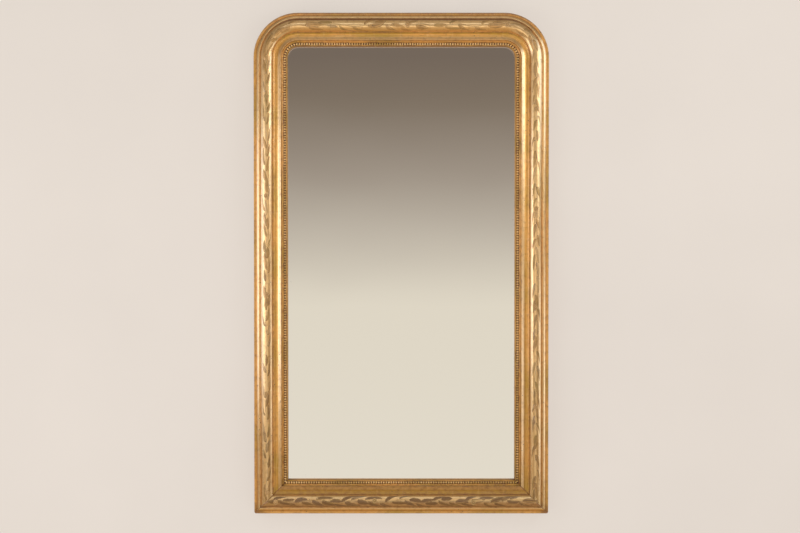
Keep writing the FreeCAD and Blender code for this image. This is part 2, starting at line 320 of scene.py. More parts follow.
@dataclass(frozen=True)
class WaterGilding(Finish):
    """Gold leaf burnished over red bole and gesso, rubbed on the edges and browned in the hollows, where
    shade is painted too.

    The leaf is a true metal, so it takes its light from the room, but its fully burnished rounds get a
    painted highlight.
    Age shows as bole at the arrises, brown dirt with painted shade in the quirks, leaf laps across the
    member, greenish patches, long rub streaks and dark specks; the top rail's splay and lip, and the foot,
    get painted shade too.
    """

    gold: str = "#DCA24E"
    pale_gold_and_highlight: str = "#F0CC90"
    green_gold: str = "#B48E30"
    toning_and_shade: str = "#94622F"
    bole: str = "#8A5630"
    speck: str = "#4A331E"
    roughness: float = 0.3
    toning_and_shade_level: float = 0.16
    toning_and_shade_span: Span = (0.95, 1.55)
    streak_toning: float = 0.5
    mottle_toning: float = 0.5
    dust_and_shade_toning: float = 0.6
    rub_level: float = 1.12
    rub_span: Span = (0.3, 0.62)
    mottle_rub: float = 0.6
    patch_rub: float = 0.5
    coat: float = 0.85
    thin_coat: float = 0.35
    coat_from: float = 0.85
    coat_roughness: float = 0.22
    coat_index: float = 1.85
    patch_size: float = 150.0 * MM
    mottle_size: float = 14.0 * MM
    mottle_grain: float = 0.62
    streak_length: float = 70.0 * MM
    # Real rub marks are finer: they are drawn coarser, so that they show
    streak_width: float = 2.6 * MM
    leaf_square: float = 80.0 * MM
    leaf_waver: float = 30.0 * MM
    lap_share: float = 0.08
    lap_paleness: float = 0.16
    speck_spacing: float = 17.0 * MM
    speck_radii: Span = (0.05, 0.11)
    speckless: float = 0.45
    green_from_dust_and_shade: float = 0.3
    green_span: Span = (0.48, 0.64)
    green_most: float = 0.8
    stain_span: Span = (0.5, 0.76)
    stain_most: float = 0.5
    highlight_from: float = 0.9
    highlight_most: float = 0.45
    bright_from: float = 0.5
    bright_most: float = 0.8
    matt_most: float = 0.85
    toned_and_shaded_dullness: float = 0.5
    dull_metal: float = 0.15
    burnish_gain: float = 0.06
    dull_roughness: float = 0.3
    mottle_roughness: float = 0.14
    streak_relief: float = 0.35
    bump_strength: float = 0.45
    bump_depth: float = 0.6 * MM

    def look(self, tree: Tree) -> dict[str, object]:
        """Lay the nodes of the gilding.

        Args:
            tree: The material's node tree.

        Returns:
            What goes into the shader, by the names of its sockets.
        """
        mark = {m: add_node(tree, "Attribute", attribute_name=m.value).outputs["Fac"] for m in Mark}
        soil, polish_and_highlight = mark[Mark.SOIL], mark[Mark.BURNISH]
        flow = add_node(tree, "CombineXYZ", {"X": mark[Mark.ALONG], "Y": mark[Mark.ACROSS]})
        stretch = (1.0 / self.streak_length, 1.0 / self.streak_width, 1.0)
        drawn = add_node(tree, "VectorMath", {0: flow, 1: stretch}, operation="MULTIPLY")
        streak = add_node(tree, "TexNoise", {"Vector": drawn, "Scale": 1.0, "Detail": 3.0})
        mottling = {"Scale": 1.0 / self.mottle_size, "Detail": 5.0, "Roughness": self.mottle_grain}
        mottle = add_node(tree, "TexNoise", {"Vector": flow, **mottling})
        patch = add_node(tree, "TexNoise", {"Vector": flow, "Scale": 1.0 / self.patch_size, "Detail": 3.0})

        # Painted shade and a brown tone gather in the hollows and with the dust, and break up along the
        # streaks
        grime_and_shade = mark[Mark.RECESS]
        shares = ((streak, self.streak_toning), (mottle, self.mottle_toning), (soil, self.dust_and_shade_toning))
        for dirt, share in shares:
            grime_and_shade = add_node(tree, "Math", {0: dirt, 1: share, 2: grime_and_shade}, operation="MULTIPLY_ADD")
        first, last = (edge - self.toning_and_shade_level for edge in self.toning_and_shade_span)
        toning_and_shade = {"Value": grime_and_shade, "From Min": first, "From Max": last}
        toned_and_shaded = add_node(tree, "MapRange", toning_and_shade, interpolation_type="SMOOTHSTEP")

        # Rubbing shows on the arrises, in patches
        worn = mark[Mark.ARRIS]
        for wear, share in ((mottle, self.mottle_rub), (patch, self.patch_rub)):
            worn = add_node(tree, "Math", {0: wear, 1: share, 2: worn}, operation="MULTIPLY_ADD")
        first, last = (self.rub_level + edge for edge in self.rub_span)
        rubbing = {"Value": worn, "From Min": first, "From Max": last}
        rubbed = add_node(tree, "MapRange", rubbing, interpolation_type="SMOOTHSTEP")

        # Laps of one leaf over the next are paler lines across the member
        wavering = {0: patch, 1: self.leaf_waver, 2: mark[Mark.ALONG]}
        uneven = add_node(tree, "Math", wavering, operation="MULTIPLY_ADD")
        leaves = add_node(tree, "Math", {0: uneven, 1: 1.0 / self.leaf_square}, operation="MULTIPLY")
        in_leaf = add_node(tree, "Math", {0: leaves}, operation="FRACT")
        lapping = {"From Max": self.lap_share, "To Min": self.lap_paleness, "To Max": 0.0}
        lap = add_node(tree, "MapRange", {"Value": in_leaf, **lapping})

        # Specks of dirt, in some cells only
        cells = add_node(tree, "TexVoronoi", {"Vector": flow, "Scale": 1.0 / self.speck_spacing})
        first, last = self.speck_radii
        dotting = {"From Min": first, "From Max": last, "To Min": 1.0, "To Max": 0.0}
        dot = add_node(tree, "MapRange", {"Value": cells, **dotting})
        lot = add_node(tree, "SeparateColor", {"Color": cells.outputs["Color"]})
        chosen = add_node(tree, "Math", {0: lot, 1: self.speckless}, operation="GREATER_THAN")
        specks = add_node(tree, "Math", {0: dot, 1: chosen}, operation="MULTIPLY")

        sour = add_node(tree, "Math", {0: soil, 1: self.green_from_dust_and_shade, 2: patch}, operation="MULTIPLY_ADD")
        first, last = self.green_span
        greening = {"From Min": first, "From Max": last, "To Max": self.green_most}
        green = add_node(tree, "MapRange", {"Value": sour, **greening})
        first, last = self.stain_span
        staining = {"From Min": first, "From Max": last, "To Max": self.stain_most}
        stain = add_node(tree, "MapRange", {"Value": mottle, **staining})
        # Painted highlight: the fully burnished rounds are painted pale gold where the lamps' highlights
        # fall; rub streaks and leaf laps are paler too
        cresting = {"From Min": self.highlight_from, "To Max": self.highlight_most}
        crest = add_node(tree, "MapRange", {"Value": polish_and_highlight, **cresting})
        rub_and_highlight = add_node(tree, "Math", {0: crest, 1: streak}, operation="ADD")
        paling = {"From Min": self.bright_from, "To Max": self.bright_most}
        pale_rub_and_highlight = add_node(tree, "MapRange", {"Value": rub_and_highlight, **paling})
        leaf = linear(self.gold)
        tints_and_highlight = ((green, self.green_gold), (pale_rub_and_highlight, self.pale_gold_and_highlight), (lap, self.pale_gold_and_highlight))
        dirts_and_shade = ((stain, self.toning_and_shade), (toned_and_shaded, self.toning_and_shade), (rubbed, self.bole), (specks, self.speck))
        for amount, colour in (*tints_and_highlight, *dirts_and_shade):
            leaf = add_node(tree, "Mix", {"Factor": amount, "A": leaf, "B": linear(colour)}, data_type="RGBA")

        dull = add_node(tree, "Math", {0: toned_and_shaded, 1: self.toned_and_shaded_dullness}, operation="MULTIPLY")
        matt = add_node(tree, "MapRange", {"Value": polish_and_highlight, "To Min": self.matt_most, "To Max": 0.0})
        for other in (rubbed, specks, matt):
            dull = add_node(tree, "Math", {0: dull, 1: other}, operation="MAXIMUM")
        metal = add_node(tree, "MapRange", {"Value": dull, "To Min": 1.0, "To Max": self.dull_metal})
        gloss = self.roughness - self.burnish_gain
        for rough, share in ((dull, self.dull_roughness), (mottle, self.mottle_roughness)):
            gloss = add_node(tree, "Math", {0: rough, 1: share, 2: gloss}, operation="MULTIPLY_ADD")
        raised = {0: streak, 1: self.streak_relief, 2: mottle}
        relief = add_node(tree, "Math", raised, operation="MULTIPLY_ADD")
        bumping = {"Strength": self.bump_strength, "Distance": self.bump_depth}
        coating = {"From Min": self.coat_from, "To Min": self.thin_coat, "To Max": self.coat}
        return {
            "Base Color": leaf,
            "Metallic": metal,
            "Roughness": gloss,
            "Normal": add_node(tree, "Bump", {"Height": relief, **bumping}),
            "Coat Weight": add_node(tree, "MapRange", {"Value": polish_and_highlight, **coating}),
            "Coat Roughness": self.coat_roughness,
            "Coat IOR": self.coat_index,
        }


@dataclass(frozen=True)
class AgedPine(Finish):
    """Old, oxidised pine: soft growth rings, fine fibres, a few knots and grey dust.

    It was sawn and left bare, so it is rough and shows its grain in brown on tan.
    """

    grain: Grain = Grain.ALONG_X
    spring_wood: str = "#A07A4E"
    summer_wood: str = "#6E4A2A"
    knot: str = "#46301D"
    dust: str = "#8F8271"
    ring_spacing: float = 9.0 * MM
    ring_stretch: float = 0.09
    ring_warp: float = 90.0 * MM
    warp_size: float = 1000.0 / 14.0 * MM
    fibre_length: float = 90.0 * MM
    # Real fibres are far finer: they are drawn coarser, so that they show
    fibre_width: float = 1.4 * MM
    dust_size: float = 200.0 * MM
    knot_spacing: float = 230.0 * MM
    knot_stretch: float = 0.45
    knot_radii: Span = (0.035, 0.075)
    knot_most: float = 0.9
    late_span: Span = (-0.2, 1.0)
    ring_share: float = 0.6
    patch_span: Span = (0.42, 0.7)
    fibre_most: float = 0.55
    dust_most: float = 0.5
    roughness: Span = (0.85, 0.66)
    ring_relief: float = 0.4
    bump_strength: float = 0.5
    bump_depth: float = 0.5 * MM

    def look(self, tree: Tree) -> dict[str, object]:
        """Lay the nodes of the wood.

        Args:
            tree: The material's node tree.

        Returns:
            What goes into the shader, by the names of its sockets.
        """
        axes = add_node(tree, "SeparateXYZ", {0: add_node(tree, "TexCoord").outputs["Object"]})
        along, across, through = (axes.outputs[name] for name in self.grain.value)
        wood = add_node(tree, "CombineXYZ", {"X": along, "Y": across, "Z": through})

        # Growth rings, drawn out along the grain and warped
        slow = add_node(tree, "VectorMath", {0: wood, 1: (self.ring_stretch, 1.0, 1.0)}, operation="MULTIPLY")
        warp = add_node(tree, "TexNoise", {"Vector": slow, "Scale": 1.0 / self.warp_size, "Detail": 2.0})
        drift = add_node(tree, "Math", {0: warp, 1: self.ring_warp, 2: across}, operation="MULTIPLY_ADD")
        rings = add_node(tree, "Math", {0: drift, 1: TURN / self.ring_spacing}, operation="MULTIPLY")
        wave = add_node(tree, "Math", {0: rings}, operation="SINE")
        lateness = {"Value": wave, "From Min": self.late_span[0], "From Max": self.late_span[1]}
        late = add_node(tree, "MapRange", lateness, interpolation_type="SMOOTHSTEP")

        fibre_scale = (1.0 / self.fibre_length, 1.0 / self.fibre_width, 1.0 / self.fibre_width)
        drawn = add_node(tree, "VectorMath", {0: wood, 1: fibre_scale}, operation="MULTIPLY")
        fibre = add_node(tree, "TexNoise", {"Vector": drawn, "Scale": 1.0, "Detail": 3.0})
        stain = add_node(tree, "TexNoise", {"Vector": slow, "Scale": 1.0 / self.dust_size, "Detail": 4.0})

        # Knots are few, and drawn out along the grain
        far = 1.0 / self.knot_spacing
        knotting = {0: wood, 1: (self.knot_stretch * far, far, far)}
        spaced = add_node(tree, "VectorMath", knotting, operation="MULTIPLY")
        knots = add_node(tree, "TexVoronoi", {"Vector": spaced, "Scale": 1.0})
        first, last = self.knot_radii
        nearness = {"From Min": first, "From Max": last, "To Min": self.knot_most, "To Max": 0.0}
        near_knot = add_node(tree, "MapRange", {"Value": knots, **nearness})

        first, last = self.patch_span
        patches = {"From Min": first, "From Max": last}
        ringed = add_node(tree, "Math", {0: late, 1: self.ring_share}, operation="MULTIPLY")
        fibred = add_node(tree, "MapRange", {"Value": fibre, **patches, "To Max": self.fibre_most})
        dusted = add_node(tree, "MapRange", {"Value": stain, **patches, "To Max": self.dust_most})
        colour = linear(self.spring_wood)
        grained = ((ringed, self.summer_wood), (fibred, self.summer_wood))
        for amount, tint in (*grained, (dusted, self.dust), (near_knot, self.knot)):
            mixed = {"Factor": amount, "A": colour, "B": linear(tint)}
            colour = add_node(tree, "Mix", mixed, data_type="RGBA")
        relief = add_node(tree, "Math", {0: late, 1: self.ring_relief, 2: fibre}, operation="MULTIPLY_ADD")
        bumping = {"Strength": self.bump_strength, "Distance": self.bump_depth}
        spring, summer = self.roughness
        return {
            "Base Color": colour,
            "Roughness": add_node(tree, "MapRange", {"Value": late, "To Min": spring, "To Max": summer}),
            "Normal": add_node(tree, "Bump", {"Height": relief, **bumping}),
        }


@dataclass(frozen=True)
class SilveredPlate(Finish):
    """Old plate glass, silvered behind: a clear cool mirror, a little wavy, with foxing near its edges."""

    half_width: float
    low: float
    high: float
    silver: str = "#F0EDE6"
    foxing: str = "#8C8272"
    roughness: float = 0.012
    wave_size: float = 320.0 * MM
    fox_size: float = 9.0 * MM
    fox_grain: float = 0.7
    fox_span: Span = (0.74, 0.95)
    fox_most: float = 0.4
    edge_reach: float = 45.0 * MM
    edge_foxing: float = 0.2
    fox_roughness: float = 0.3
    bump_strength: float = 0.25
    bump_depth: float = 1.2 * MM

    def look(self, tree: Tree) -> dict[str, object]:
        """Lay the nodes of the plate.

        Args:
            tree: The material's node tree.

        Returns:
            What goes into the shader, by the names of its sockets.
        """
        place = add_node(tree, "TexCoord").outputs["Object"]
        axes = add_node(tree, "SeparateXYZ", {0: place}).outputs
        sideways = add_node(tree, "Math", {0: axes["X"]}, operation="ABSOLUTE")
        to_side = add_node(tree, "Math", {0: self.half_width, 1: sideways}, operation="SUBTRACT")
        to_foot = add_node(tree, "Math", {0: axes["Z"], 1: self.low}, operation="SUBTRACT")
        to_head = add_node(tree, "Math", {0: self.high, 1: axes["Z"]}, operation="SUBTRACT")
        ends = add_node(tree, "Math", {0: to_foot, 1: to_head}, operation="MINIMUM")
        rim = add_node(tree, "Math", {0: ends, 1: to_side}, operation="MINIMUM")
        nearness = {"From Max": self.edge_reach, "To Min": self.edge_foxing, "To Max": 0.0}
        near_rim = add_node(tree, "MapRange", {"Value": rim, **nearness})
        spotting = {"Scale": 1.0 / self.fox_size, "Detail": 4.0, "Roughness": self.fox_grain}
        spots = add_node(tree, "TexNoise", {"Vector": place, **spotting})
        spread = add_node(tree, "Math", {0: spots, 1: near_rim}, operation="ADD")
        first, last = self.fox_span
        foxing = {"From Min": first, "From Max": last, "To Max": self.fox_most}
        foxed = add_node(tree, "MapRange", {"Value": spread, **foxing})
        tint = {"Factor": foxed, "A": linear(self.silver), "B": linear(self.foxing)}
        dulled = {0: foxed, 1: self.fox_roughness, 2: self.roughness}
        swell = add_node(tree, "TexNoise", {"Vector": place, "Scale": 1.0 / self.wave_size, "Detail": 1.0})
        bumping = {"Strength": self.bump_strength, "Distance": self.bump_depth}
        return {
            "Base Color": add_node(tree, "Mix", tint, data_type="RGBA"),
            "Metallic": 1.0,
            "Roughness": add_node(tree, "Math", dulled, operation="MULTIPLY_ADD"),
            "Normal": add_node(tree, "Bump", {"Height": swell, **bumping}),
        }


@dataclass(frozen=True)
class WroughtIron(Finish):
    """Forged iron with a dark skin, hammered, with rust in blooms: half metal, half matt brown."""

    skin: str = "#4A443E"
    rust: str = "#6E4022"
    bloom_size: float = 7.0 * MM
    bloom_span: Span = (0.46, 0.62)
    # Real pits are finer: they are drawn coarser, so that they show
    pit_size: float = 1.1 * MM
    metal: Span = (0.9, 0.1)
    roughness: Span = (0.42, 0.85)
    bump_strength: float = 0.4
    bump_depth: float = 0.25 * MM

    def look(self, tree: Tree) -> dict[str, object]:
        """Lay the nodes of the iron.

        Args:
            tree: The material's node tree.

        Returns:
            What goes into the shader, by the names of its sockets.
        """
        place = add_node(tree, "TexCoord").outputs["Object"]
        bloom = add_node(tree, "TexNoise", {"Vector": place, "Scale": 1.0 / self.bloom_size, "Detail": 5.0})
        pits = add_node(tree, "TexNoise", {"Vector": place, "Scale": 1.0 / self.pit_size, "Detail": 2.0})
        first, last = self.bloom_span
        rusted = add_node(tree, "MapRange", {"Value": bloom, "From Min": first, "From Max": last})
        tint = {"Factor": rusted, "A": linear(self.skin), "B": linear(self.rust)}
        metal = {"To Min": self.metal[0], "To Max": self.metal[1]}
        rough = {"To Min": self.roughness[0], "To Max": self.roughness[1]}
        bumping = {"Strength": self.bump_strength, "Distance": self.bump_depth}
        return {
            "Base Color": add_node(tree, "Mix", tint, data_type="RGBA"),
            "Metallic": add_node(tree, "MapRange", {"Value": rusted, **metal}),
            "Roughness": add_node(tree, "MapRange", {"Value": rusted, **rough}),
            "Normal": add_node(tree, "Bump", {"Height": pits, **bumping}),
        }


@dataclass(frozen=True)
class StudioPaint(Finish):
    """Plain matt paint for the wall and floor, seen only from its front and evened by a soft glow."""

    paint: str = "#DFD6CD"
    glow: float = 0.78
    shade_share: float = 0.35
    mottle_size: float = 400.0 * MM
    tones: Span = (0.97, 1.03)
    roughness: float = 0.9
    sheen: float = 0.1

    def look(self, tree: Tree) -> dict[str, object]:
        """Lay the nodes of the paint.

        Args:
            tree: The material's node tree.

        Returns:
            What goes into the shader, by the names of its sockets.
        """
        place = add_node(tree, "TexCoord").outputs["Object"]
        cloud = add_node(tree, "TexNoise", {"Vector": place, "Scale": 1.0 / self.mottle_size, "Detail": 3.0})
        tone = add_node(tree, "MapRange", {"Value": cloud, "To Min": self.tones[0], "To Max": self.tones[1]})
        toned_and_shaded = {0: linear(self.paint)[:3], "Scale": tone}
        colour = add_node(tree, "VectorMath", toned_and_shaded, operation="SCALE")
        shaded = {0: colour, "Scale": self.shade_share}
        return {
            "Base Color": add_node(tree, "VectorMath", shaded, operation="SCALE"),
            "Roughness": self.roughness,
            "Specular IOR Level": self.sheen,
            "Emission Color": colour,
            "Emission Strength": self.glow,
        }

    def cover(self, tree: Tree, shader: Node) -> Node:
        """Leave the paint clear from behind."""
        behind = add_node(tree, "NewGeometry").outputs["Backfacing"]
        return add_node(tree, "MixShader", {0: behind, 1: shader, 2: add_node(tree, "BsdfTransparent")})


@dataclass
class Pen:
    """A pen that draws an outline in u and v, from one point to the next."""

    points: list[Span]
    facet: float

    @property
    def at(self) -> Span:
        """The point that the pen has come to."""
        return self.points[-1]

    def step(self, *moves: Span) -> None:
        """Draw straight lines, each by a distance in u and one in v."""
        for across, up in moves:
            self.points.append((self.at[0] + across, self.at[1] + up))

    def arc(self, radius: float, first: float, last: float) -> Span:
        """Draw an arc from one bearing to another, about a facet to a line, and return its centre.

        Args:
            radius: The arc's radius.
            first: The bearing where it starts.
            last: The bearing where it ends.

        Returns:
            The arc's centre.
        """
        centre = polar(self.at, -radius, first)
        steps = max(4, round(abs(math.radians(last - first)) * radius / self.facet))
        bearings = (first + (last - first) * (i + 1) / steps for i in range(steps))
        self.points += [polar(centre, radius, bearing) for bearing in bearings]
        return centre


@dataclass
class MouldingSection:
    """The gilded moulding's section: u from the outer edge, v off the wall, and bearings in degrees."""

    back: float = 34.0 * MM
    ledge_width: float = 7.5 * MM
    ledge_dip: float = 2.0 * MM
    ledge_height: float = 20.5 * MM
    arris_chamfer: float = 1.0 * MM
    splay_radius: float = 20.0 * MM
    splay_first: float = 150.0
    splay_last: float = 118.0
    splay_round: float = 2.4 * MM
    cove_radius: float = 4.0 * MM
    cove_lift: float = 2.5 * MM
    cushion_heel: float = 3.0 * MM
    cushion_width: float = 35.5 * MM
    cushion_rise: float = 9.5 * MM
    quirk_width: float = 1.2 * MM
    quirk_depth: float = 2.5 * MM
    ridge_width: float = 2.2 * MM
    ridge_rise: float = 1.5 * MM
    ridge_step: float = 1.5 * MM
    hollow_radius: float = 12.0 * MM
    hollow_first: float = 45.0
    hollow_last: float = 18.0
    slope_radius: float = 38.0 * MM
    slope_last: float = 36.0
    # The slope is burnished in full over this width, which also paints a pale highlight there
    slope_polish_and_highlight: float = 11.0 * MM
    nose_radius: float = 1.5 * MM
    nose_drop: float = 6.5 * MM
    nose_quirk_width: float = 1.2 * MM
    fillet_width: float = 1.9 * MM
    fillet_rise: float = 2.0 * MM
    fillet_fall: float = 1.0 * MM
    fillet_groove_width: float = 1.4 * MM
    fillet_groove_depth: float = 2.2 * MM
    bead_bed_width: float = 7.8 * MM
    bead_bed_depth: float = 6.3 * MM
    lip_width: float = 4.2 * MM
    lip_rise: float = 4.0 * MM
    lip_bevel: float = 2.8 * MM
    lip_drop: float = 5.0 * MM
    slip_clearance: float = 0.1 * MM
    slip_thickness: float = 1.2 * MM
    corner_ease: float = 0.45 * MM
    ease_share: float = 0.4
    straight: float = 0.9
    facet: float = 1.3 * MM
    crease_reach: float = 1.6 * MM
    crease_full: float = 0.6 / MM
    crease_floor: float = 0.38
    crease_share: float = 0.4
    edge_toning: float = 0.4
    edge_width: float = 0.1 * MM
    soft: float = 2.0 * MM

    def __post_init__(self) -> None:
        """Draw the section from the outer back corner over the face to the sight, and note its lines."""
        pen = Pen([(0.0, self.back)], self.facet)
        edge = self.arris_chamfer
        pen.step((0.0, self.ledge_height - edge), (edge, edge), (self.ledge_width - edge, -self.ledge_dip))
        pen.arc(self.splay_radius, self.splay_first, self.splay_last)
        pen.arc(self.splay_round, self.splay_last, 0.0)
        self.splay_end, splay_top = pen.at
        pen.step((0.0, self.back + self.ledge_height + self.cove_lift - splay_top))
        pen.arc(self.cove_radius, 270.0, 360.0)
        self.cushion_start = pen.at[0]
        pen.step((0.0, self.cushion_heel - self.cove_lift))
        half, rise = self.cushion_width / 2.0, self.cushion_rise
        self.cushion_radius = (half**2 + rise**2) / (2.0 * rise)
        swing = math.degrees(math.asin(half / self.cushion_radius))
        self.cushion_centre = pen.arc(self.cushion_radius, 90.0 + swing, 90.0 - swing)
        self.cushion_end = pen.at[0]
        pen.step((0.0, -self.quirk_depth), (self.quirk_width, 0.0))
        pen.step((0.0, self.ridge_rise), (self.ridge_width, 0.0), (0.0, -self.ridge_step))
        self.hollow_edge = pen.at[0]
        slope_start, slope_end = 270.0 + self.hollow_last, 270.0 + self.slope_last
        pen.arc(self.hollow_radius, 270.0 - self.hollow_first, slope_start)
        pen.arc(self.slope_radius, slope_start, slope_end)
        self.nose = pen.arc(self.nose_radius, slope_end - 180.0, 0.0)[0]
        pen.step((0.0, -self.nose_drop), (self.nose_quirk_width, 0.0), (0.0, self.fillet_rise))
        self.fillet_start = pen.at[0]
        fillet = (self.fillet_width, -self.fillet_fall)
        groove = self.fillet_groove_depth - self.fillet_fall
        pen.step(fillet, (0.0, -groove), (self.fillet_groove_width, 0.0), (0.0, groove), fillet)
        pen.step((0.0, 2.0 * self.fillet_fall - self.bead_bed_depth))
        self.bed_start, self.bed_floor = pen.at
        pen.step((self.bead_bed_width, 0.0))
        self.bed_end = pen.at[0]
        self.pearl_line = self.bed_start + self.bead_bed_width / 2.0
        pen.step((0.0, self.lip_rise), (self.lip_width - self.lip_bevel, 0.0))
        pen.step((self.lip_bevel, -self.lip_drop))
        self.face_width, lip_foot = pen.at
        pen.step((0.0, self.back - lip_foot))
        self.outline = self.eased(pen.points)

    def slip_outline(self) -> Array:
        """The closed outline of the flat strip under the pearls.

        Returns:
            Rows of u and v.
        """
        near, far = self.bed_start + self.slip_clearance, self.bed_end - self.slip_clearance
        top = self.bed_floor + self.slip_thickness
        return self.eased([(near, self.bed_floor), (near, top), (far, top), (far, self.bed_floor)])

    def eased(self, points: list[Span]) -> Array:
        """Round the sharp corners of a closed outline, with three points in place of each.

        Args:
            points: The outline's corners, in order.

        Returns:
            Rows of u and v.
        """
        made = []
        corners = np.array(points)
        for i, corner in enumerate(corners):
            before, after = corners[i - 1] - corner, corners[(i + 1) % len(corners)] - corner
            back, on = np.linalg.norm(before), np.linalg.norm(after)
            if np.dot(before, after) <= -self.straight * back * on:
                made.append(corner)
                continue
            reach = min(self.corner_ease, self.ease_share * back, self.ease_share * on)
            first, last = corner + before / back * reach, corner + after / on * reach
            made += [first, corner * 0.5 + (first + last) * 0.25, last]
        return np.array(made)

    def creases(self, outline: Array) -> tuple[Array, Array]:
        """How hollow and how sharp each point of an outline is.

        Args:
            outline: A closed outline, clockwise.

        Returns:
            How hollow each point is, which sets its brown tone and painted shade, and how sharp, from 0 to 1.
        """
        ahead = np.roll(outline, -1, axis=0) - outline
        behind = outline - np.roll(outline, 1, axis=0)
        cross = behind[:, 0] * ahead[:, 1] - behind[:, 1] * ahead[:, 0]
        turning = -np.arctan2(cross, (behind * ahead).sum(axis=1))
        spot = np.concatenate(([0.0], np.cumsum(np.linalg.norm(ahead, axis=1))))
        apart = np.abs(spot[:-1, None] - spot[None, :-1])
        apart = np.minimum(apart, spot[-1] - apart)
        weight = np.clip(1.0 - apart / self.crease_reach, 0.0, 1.0) / self.crease_reach
        bend = (weight * turning[None, :]).sum(axis=1) / self.crease_full
        over = 1.0 - self.crease_floor
        hollow, sharp = (np.clip((way * bend - self.crease_floor) / over, 0.0, 1.0) for way in (-1.0, 1.0))
        hollow = hollow * self.crease_share
        edges = (outline[:, 0] < self.ledge_width) | (outline[:, 0] > self.face_width - self.edge_width)
        return np.where(edges, np.maximum(hollow, self.edge_toning), hollow), sharp

    def burnish(self, u: Array) -> Array:
        """How far the agate has polished the face at each distance in: the rounds, not the fillets; where it
        is full, a pale painted highlight goes on.

        Args:
            u: Distances in from the outer edge.

        Returns:
            How far it is polished, which also places the painted highlight, from 0 to 1.
        """
        ledge, end, hollow = self.ledge_width, self.cushion_end, self.hollow_edge
        nose, slope, soft = self.nose, self.nose - self.slope_polish_and_highlight, self.soft
        outer = ((ledge - soft, 0.0), (ledge, 1.0), (end - 0.1 * soft, 1.0), (end, 0.5))
        inner = ((hollow + soft, 0.5), (hollow + 2.0 * soft, 0.8), (slope, 0.85), (slope + soft, 1.0))
        return banded(u, *outer, *inner, (nose, 1.0), (nose + soft, 0.5))

    def foot_dust_and_shade(self, u: Array) -> Array:
        """How dark the foot rail is made: painted shade on the cushion's outer half, which faces down, and
        dust on the band, which faces up.

        Args:
            u: Distances in from the outer edge.

        Returns:
            The soil, from 0 up.
        """
        crest, end, fillet = self.cushion_centre[0], self.cushion_end, self.fillet_start
        cushion = ((self.splay_end, 0.0), (self.cushion_start, 1.2), (crest, 1.0), (crest + 5.0 * MM, 0.0))
        band = ((end, 0.0), (end + self.quirk_width, 0.9), (fillet - self.soft, 0.9), (fillet, 0.0))
        return banded(u, *cushion, *band)

    def head_dust_and_shade(self, u: Array) -> Array:
        """How dark the top rail is made: dust on the ledge and the hollow where they face up, dust and
        painted shade in the cove and on the cushion's foot under the splay, and painted shade on the lip's
        bevel, which faces down.

        Args:
            u: Distances in from the outer edge.

        Returns:
            The soil, from 0 up.
        """
        ledge, cove, start, hollow = self.ledge_width, self.splay_end, self.cushion_start, self.hollow_edge
        bevel, soft = self.face_width - self.lip_bevel, self.soft
        outer = ((ledge - MM, 0.65), (ledge, 0.0), (cove - 5.0 * MM, 0.0), (cove - soft, 0.9), (cove, 1.2))
        cushion = ((start + soft, 1.2), (start + 6.0 * MM, 0.0), (hollow - MM, 0.0))
        inner = ((hollow, 0.9), (hollow + 9.0 * MM, 0.0), (bevel, 0.0), (bevel + 0.4 * MM, 1.4))
        return banded(u, *outer, *cushion, *inner)


@dataclass
class Run(ABC):
    """A member's way round the frame: s along it, u in from the outer edge, v off the wall."""

    name: str
    start: float
    length: float
    mitred: tuple[bool, bool]

    @property
    def end(self) -> float:
        """Where the run ends along the whole path."""
        return self.start + self.length

    def from_mitres(self, s: Array) -> list[Array]:
        """Distances along the run from each of its mitred ends."""
        return [far for cut, far in zip(self.mitred, (s, self.length - s)) if cut]

    @abstractmethod
    def place(self, s: Array | float, u: Array | float, v: Array | float) -> Array:
        """Turn distances on the member into rows of x, y and z."""

    @abstractmethod
    def locate(self, points: Array) -> tuple[Array, Array, Array]:
        """Turn rows of x, y and z into distances on the member."""

    @abstractmethod
    def sweep(self, rows: int) -> None:
        """Carry the selected outline along the member, in edit mode."""


@dataclass
class StraightRun(Run):
    """A straight member, mitred or square at its ends."""

    origin: Array
    along: Array
    inward: Array
    corner_rows: tuple[float, ...] = (1.5 * MM, 3.0 * MM, 4.5 * MM, 6.0 * MM)
    mitre_rows: tuple[float, ...] = (0.9 * MM, 2.2 * MM)

    def place(self, s: Array | float, u: Array | float, v: Array | float) -> Array:
        """Turn distances on the member into rows of x, y and z.

        Args:
            s: Distances along the member.
            u: Distances in from the outer edge.
            v: Heights off the wall.

        Returns:
            The places.
        """
        points = self.origin + np.multiply.outer(s, self.along) + np.multiply.outer(u, self.inward)
        points[..., 1] -= v
        return points

    def locate(self, points: Array) -> tuple[Array, Array, Array]:
        """Turn rows of x, y and z into distances on the member."""
        from_origin = points - self.origin
        return from_origin @ self.along, from_origin @ self.inward, -points[:, 1]

    def sweep(self, rows: int) -> None:
        """Carry the selected outline along the member, then cut its mitres and the rows beside them.

        Args:
            rows: How many lengths the member is made of.
        """
        bpy.ops.mesh.extrude_repeat(steps=rows, offset=tuple(self.along * self.length / rows))
        for cut, s, way in zip(self.mitred, (0.0, self.length), (-1.0, 1.0)):
            if not cut:
                continue
            corner = self.origin + self.along * s
            off_side = (self.inward + self.along * way) / ROOT_TWO
            bpy.ops.mesh.select_all(action="SELECT")
            bpy.ops.mesh.bisect(plane_co=corner, plane_no=off_side, use_fill=True, clear_outer=True)
            planes = [(corner - off_side * step, off_side) for step in self.mitre_rows]
            planes += [(corner - self.along * step * way, self.along) for step in self.corner_rows]
            for spot, facing in planes:
                bpy.ops.mesh.select_all(action="SELECT")
                bpy.ops.mesh.bisect(plane_co=spot, plane_no=facing)


